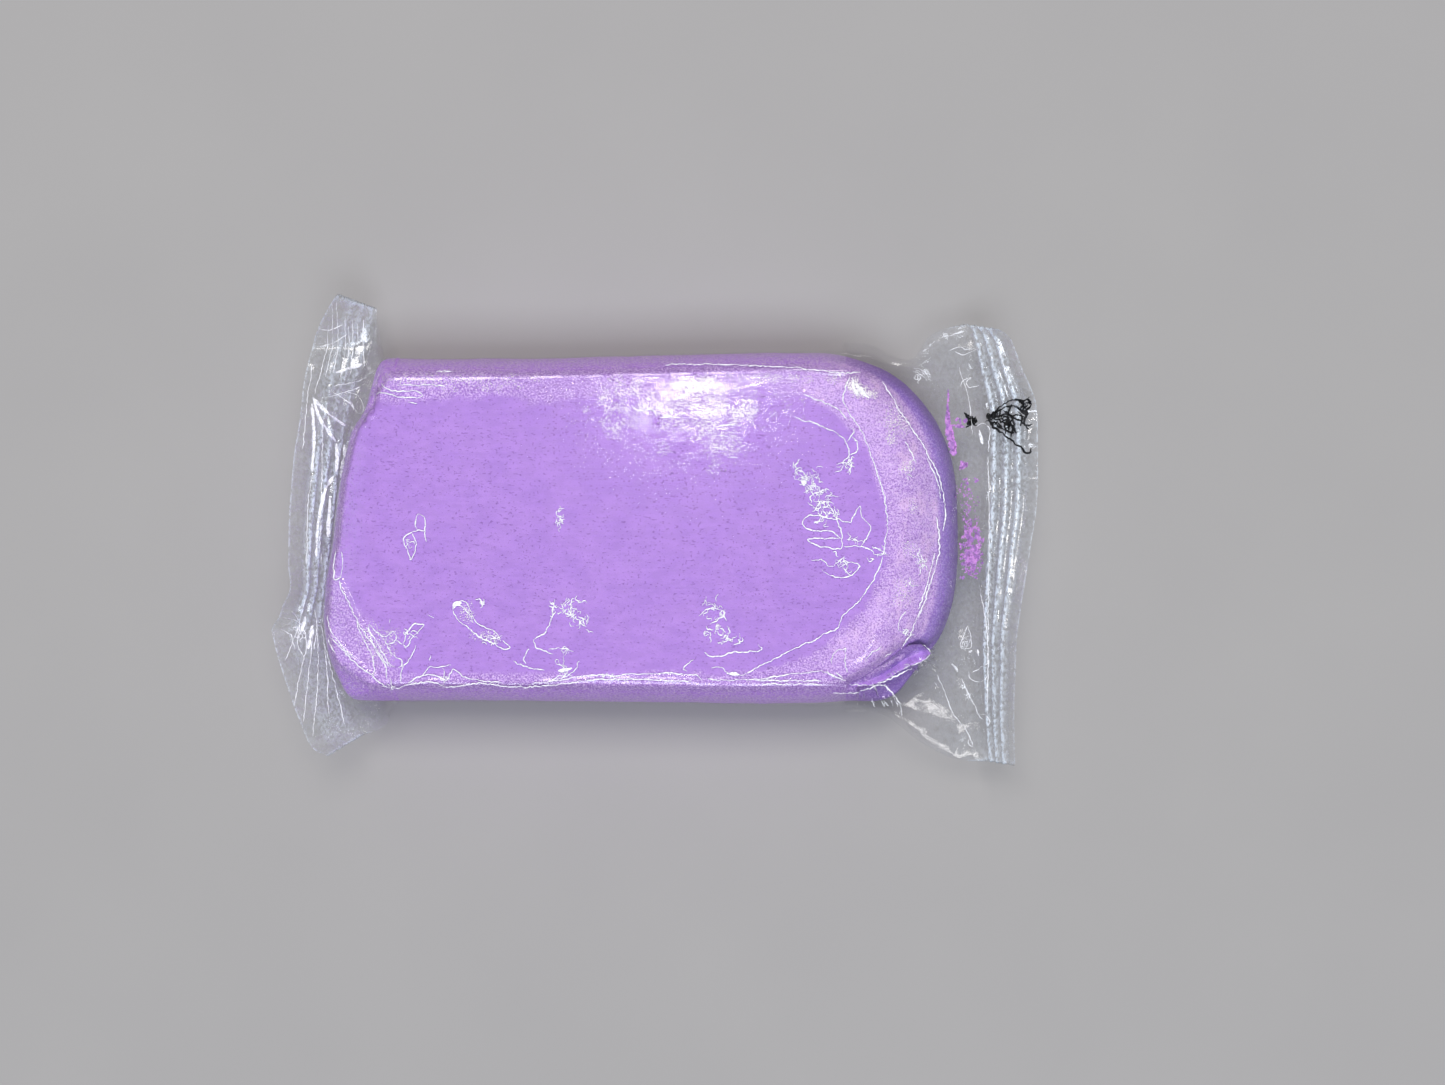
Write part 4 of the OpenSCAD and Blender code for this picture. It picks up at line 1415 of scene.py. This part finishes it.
PRINT_STROKES = (
    (
        (49.2, 16.8), (50.3, 17.4), (51.4, 18.4), (52.6, 19.1), (54.0, 19.1), (55.2, 19.2),
        (55.6, 18.6), (54.9, 17.7), (53.0, 18.4),
    ),
    ((49.2, 16.8), (50.6, 16.8), (51.8, 17.2), (52.8, 16.8), (54.2, 16.1), (55.0, 15.5), (56.0, 15.7)),
    ((49.2, 16.6), (50.4, 15.2), (51.6, 14.2), (53.0, 13.2), (54.0, 12.4), (55.4, 11.4), (55.9, 12.2)),
    ((51.0, 15.9), (52.2, 16.4), (53.0, 15.2), (53.6, 14.2)),
    ((52.0, 17.8), (52.8, 17.0), (53.8, 17.0), (54.8, 16.9)),
    ((51.6, 17.8), (52.4, 16.2), (51.8, 15.2), (52.6, 14.4)),
    ((53.6, 17.6), (54.4, 16.6), (54.0, 15.4)),
    ((49.8, 17.0), (51.2, 17.8), (52.6, 18.3), (54.2, 18.0), (55.3, 17.2)),
    ((50.2, 16.2), (51.0, 15.2), (52.0, 14.8), (53.2, 14.4)),
    ((54.6, 18.9), (54.2, 17.8), (55.0, 16.8), (54.6, 15.8), (55.4, 14.8)),
    ((52.8, 18.6), (52.4, 17.4), (53.2, 16.2), (52.8, 13.9)),
)
PRINT_WIDTH = 0.31
PRINT_BLOTS = ((49.9, 16.4), (50.9, 16.6), (52.6, 15.8), (54.9, 18.4), (46.6, 15.9), (46.6, 15.9))


def make_print_mark(skin):
    """A crumpled printed mark on the nose seal: plain strokes that spell nothing."""
    lines = wandering(PRINT_STROKES, 500, 0.14)
    for i, centre in enumerate(PRINT_BLOTS):
        lines += scribble(centre, 0.5, 12, 520 + i)
    return strips("print_mark", lines, [PRINT_WIDTH] * len(lines), [skin], INK, height=0.02)


# ------------------------------------------------------------ light and camera

CAMERA_HEIGHT = 441.0
VIEW_CENTRE = (10.2, -1.75)
LENS = 73.6
FLOOR_SIZE = 3
SOFTBOX = (0.7, 0.46)
SMALL_LAMP = (0.052, 0.022)


def add_camera():
    """A camera straight above the pack."""
    data = bpy.data.cameras.new("camera")
    data.lens = LENS
    data.sensor_width = 36
    data.clip_start = 0.01
    camera = bpy.data.objects.new("camera", data)
    camera.location = Vector((VIEW_CENTRE[0], VIEW_CENTRE[1], CAMERA_HEIGHT)) * MM
    bpy.context.scene.collection.objects.link(camera)
    bpy.context.scene.camera = camera


def add_lamp(name, place, size, watts, target=(0, 0, 0.01), tone=(1, 1, 1), shape="RECTANGLE"):
    """A flat lamp that faces target, in metres."""
    data = bpy.data.lights.new(name, "AREA")
    data.shape = shape
    data.size, data.size_y = size
    data.energy = watts
    data.color = tone
    light = bpy.data.objects.new(name, data)
    light.location = place
    light.rotation_euler = (Vector(target) - Vector(place)).to_track_quat("-Z", "Y").to_euler()
    bpy.context.scene.collection.objects.link(light)


def add_stage():
    """The floor, the faint light all round and the lamps."""
    bpy.ops.mesh.primitive_plane_add(size=FLOOR_SIZE)
    floor = bpy.context.object
    floor.name = "floor"
    floor.data.materials.append(floor_material())
    world = bpy.data.worlds.new("studio")
    world.use_nodes = True
    world.node_tree.nodes["Background"].inputs["Color"].default_value = (0.9, 0.93, 1.0, 1)
    world.node_tree.nodes["Background"].inputs["Strength"].default_value = 0.10
    bpy.context.scene.world = world
    add_lamp("key", (-0.08, 0.44, 1.05), SOFTBOX, 7.9, tone=(1.0, 0.97, 0.95))
    add_lamp("fill", (0.08, -0.44, 1.05), SOFTBOX, 7.3, tone=(0.86, 0.91, 1.0))
    glare = (0.005, 0.020, 0.016)
    add_lamp("overhead", (-0.002, 0.068, 0.80), SMALL_LAMP, 0.10, target=glare, shape="ELLIPSE")
    bpy.context.scene.view_settings.view_transform = "Standard"


# ---------------------------------------------------------------------- build


def skin_tree(obj, points):
    """A film piece's surface, in millimetres, for rays to hit."""
    return tree_of(points, [tuple(face.vertices) for face in obj.data.polygons])


def blend_at(piece):
    """Bakes the piece's placement into its points."""
    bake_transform(piece)


def build():
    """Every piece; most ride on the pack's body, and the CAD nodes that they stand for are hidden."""
    cake, cake_points, cake_faces = make_cake()
    clay = tree_of(cake_points, cake_faces)
    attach(cake, "pack")
    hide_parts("cake")

    film = film_pieces(clay)
    skins = {key: skin_tree(*skin) for key, skin in film.items()}

    sleeve = film["sleeve"][0]
    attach(sleeve, "pack")
    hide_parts("film_sleeve")

    fine, broad = fold_lines()
    widths = fold_widths(fine, broad, PACK_FOLD_WIDTHS)
    folds = strips("film_folds_painted_glints", fine + broad, widths, list(skins.values()), GLINT)
    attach(folds, "pack")

    for key, hinge, out, nodes in (
        ("left", LEFT_HINGE, LEFT_OUT, ("left_end_film", "left_end_seal")),
        ("right", RIGHT_HINGE, RIGHT_OUT, ("right_end_film", "right_end_seal")),
    ):
        obj = film[key][0]
        blend_at(obj)
        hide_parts(*nodes)
        fine, broad = seal_lines(key == "right")
        widths = fold_widths(fine, broad, END_FOLD_WIDTHS)
        lines = strips(key + "_end_folds_painted_glints", fine + broad, widths, [skins[key]], GLINT)
        blend_at(lines)

    mark = make_print_mark(skins["right"])
    blend_at(mark)

    seam = make_back_seam()
    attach(seam, "pack")
    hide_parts("back_seam")

    crumbs = make_crumbs(skins["right"])
    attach(crumbs, "pack")
    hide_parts("cake_crumbs")


build()
add_stage()
add_camera()
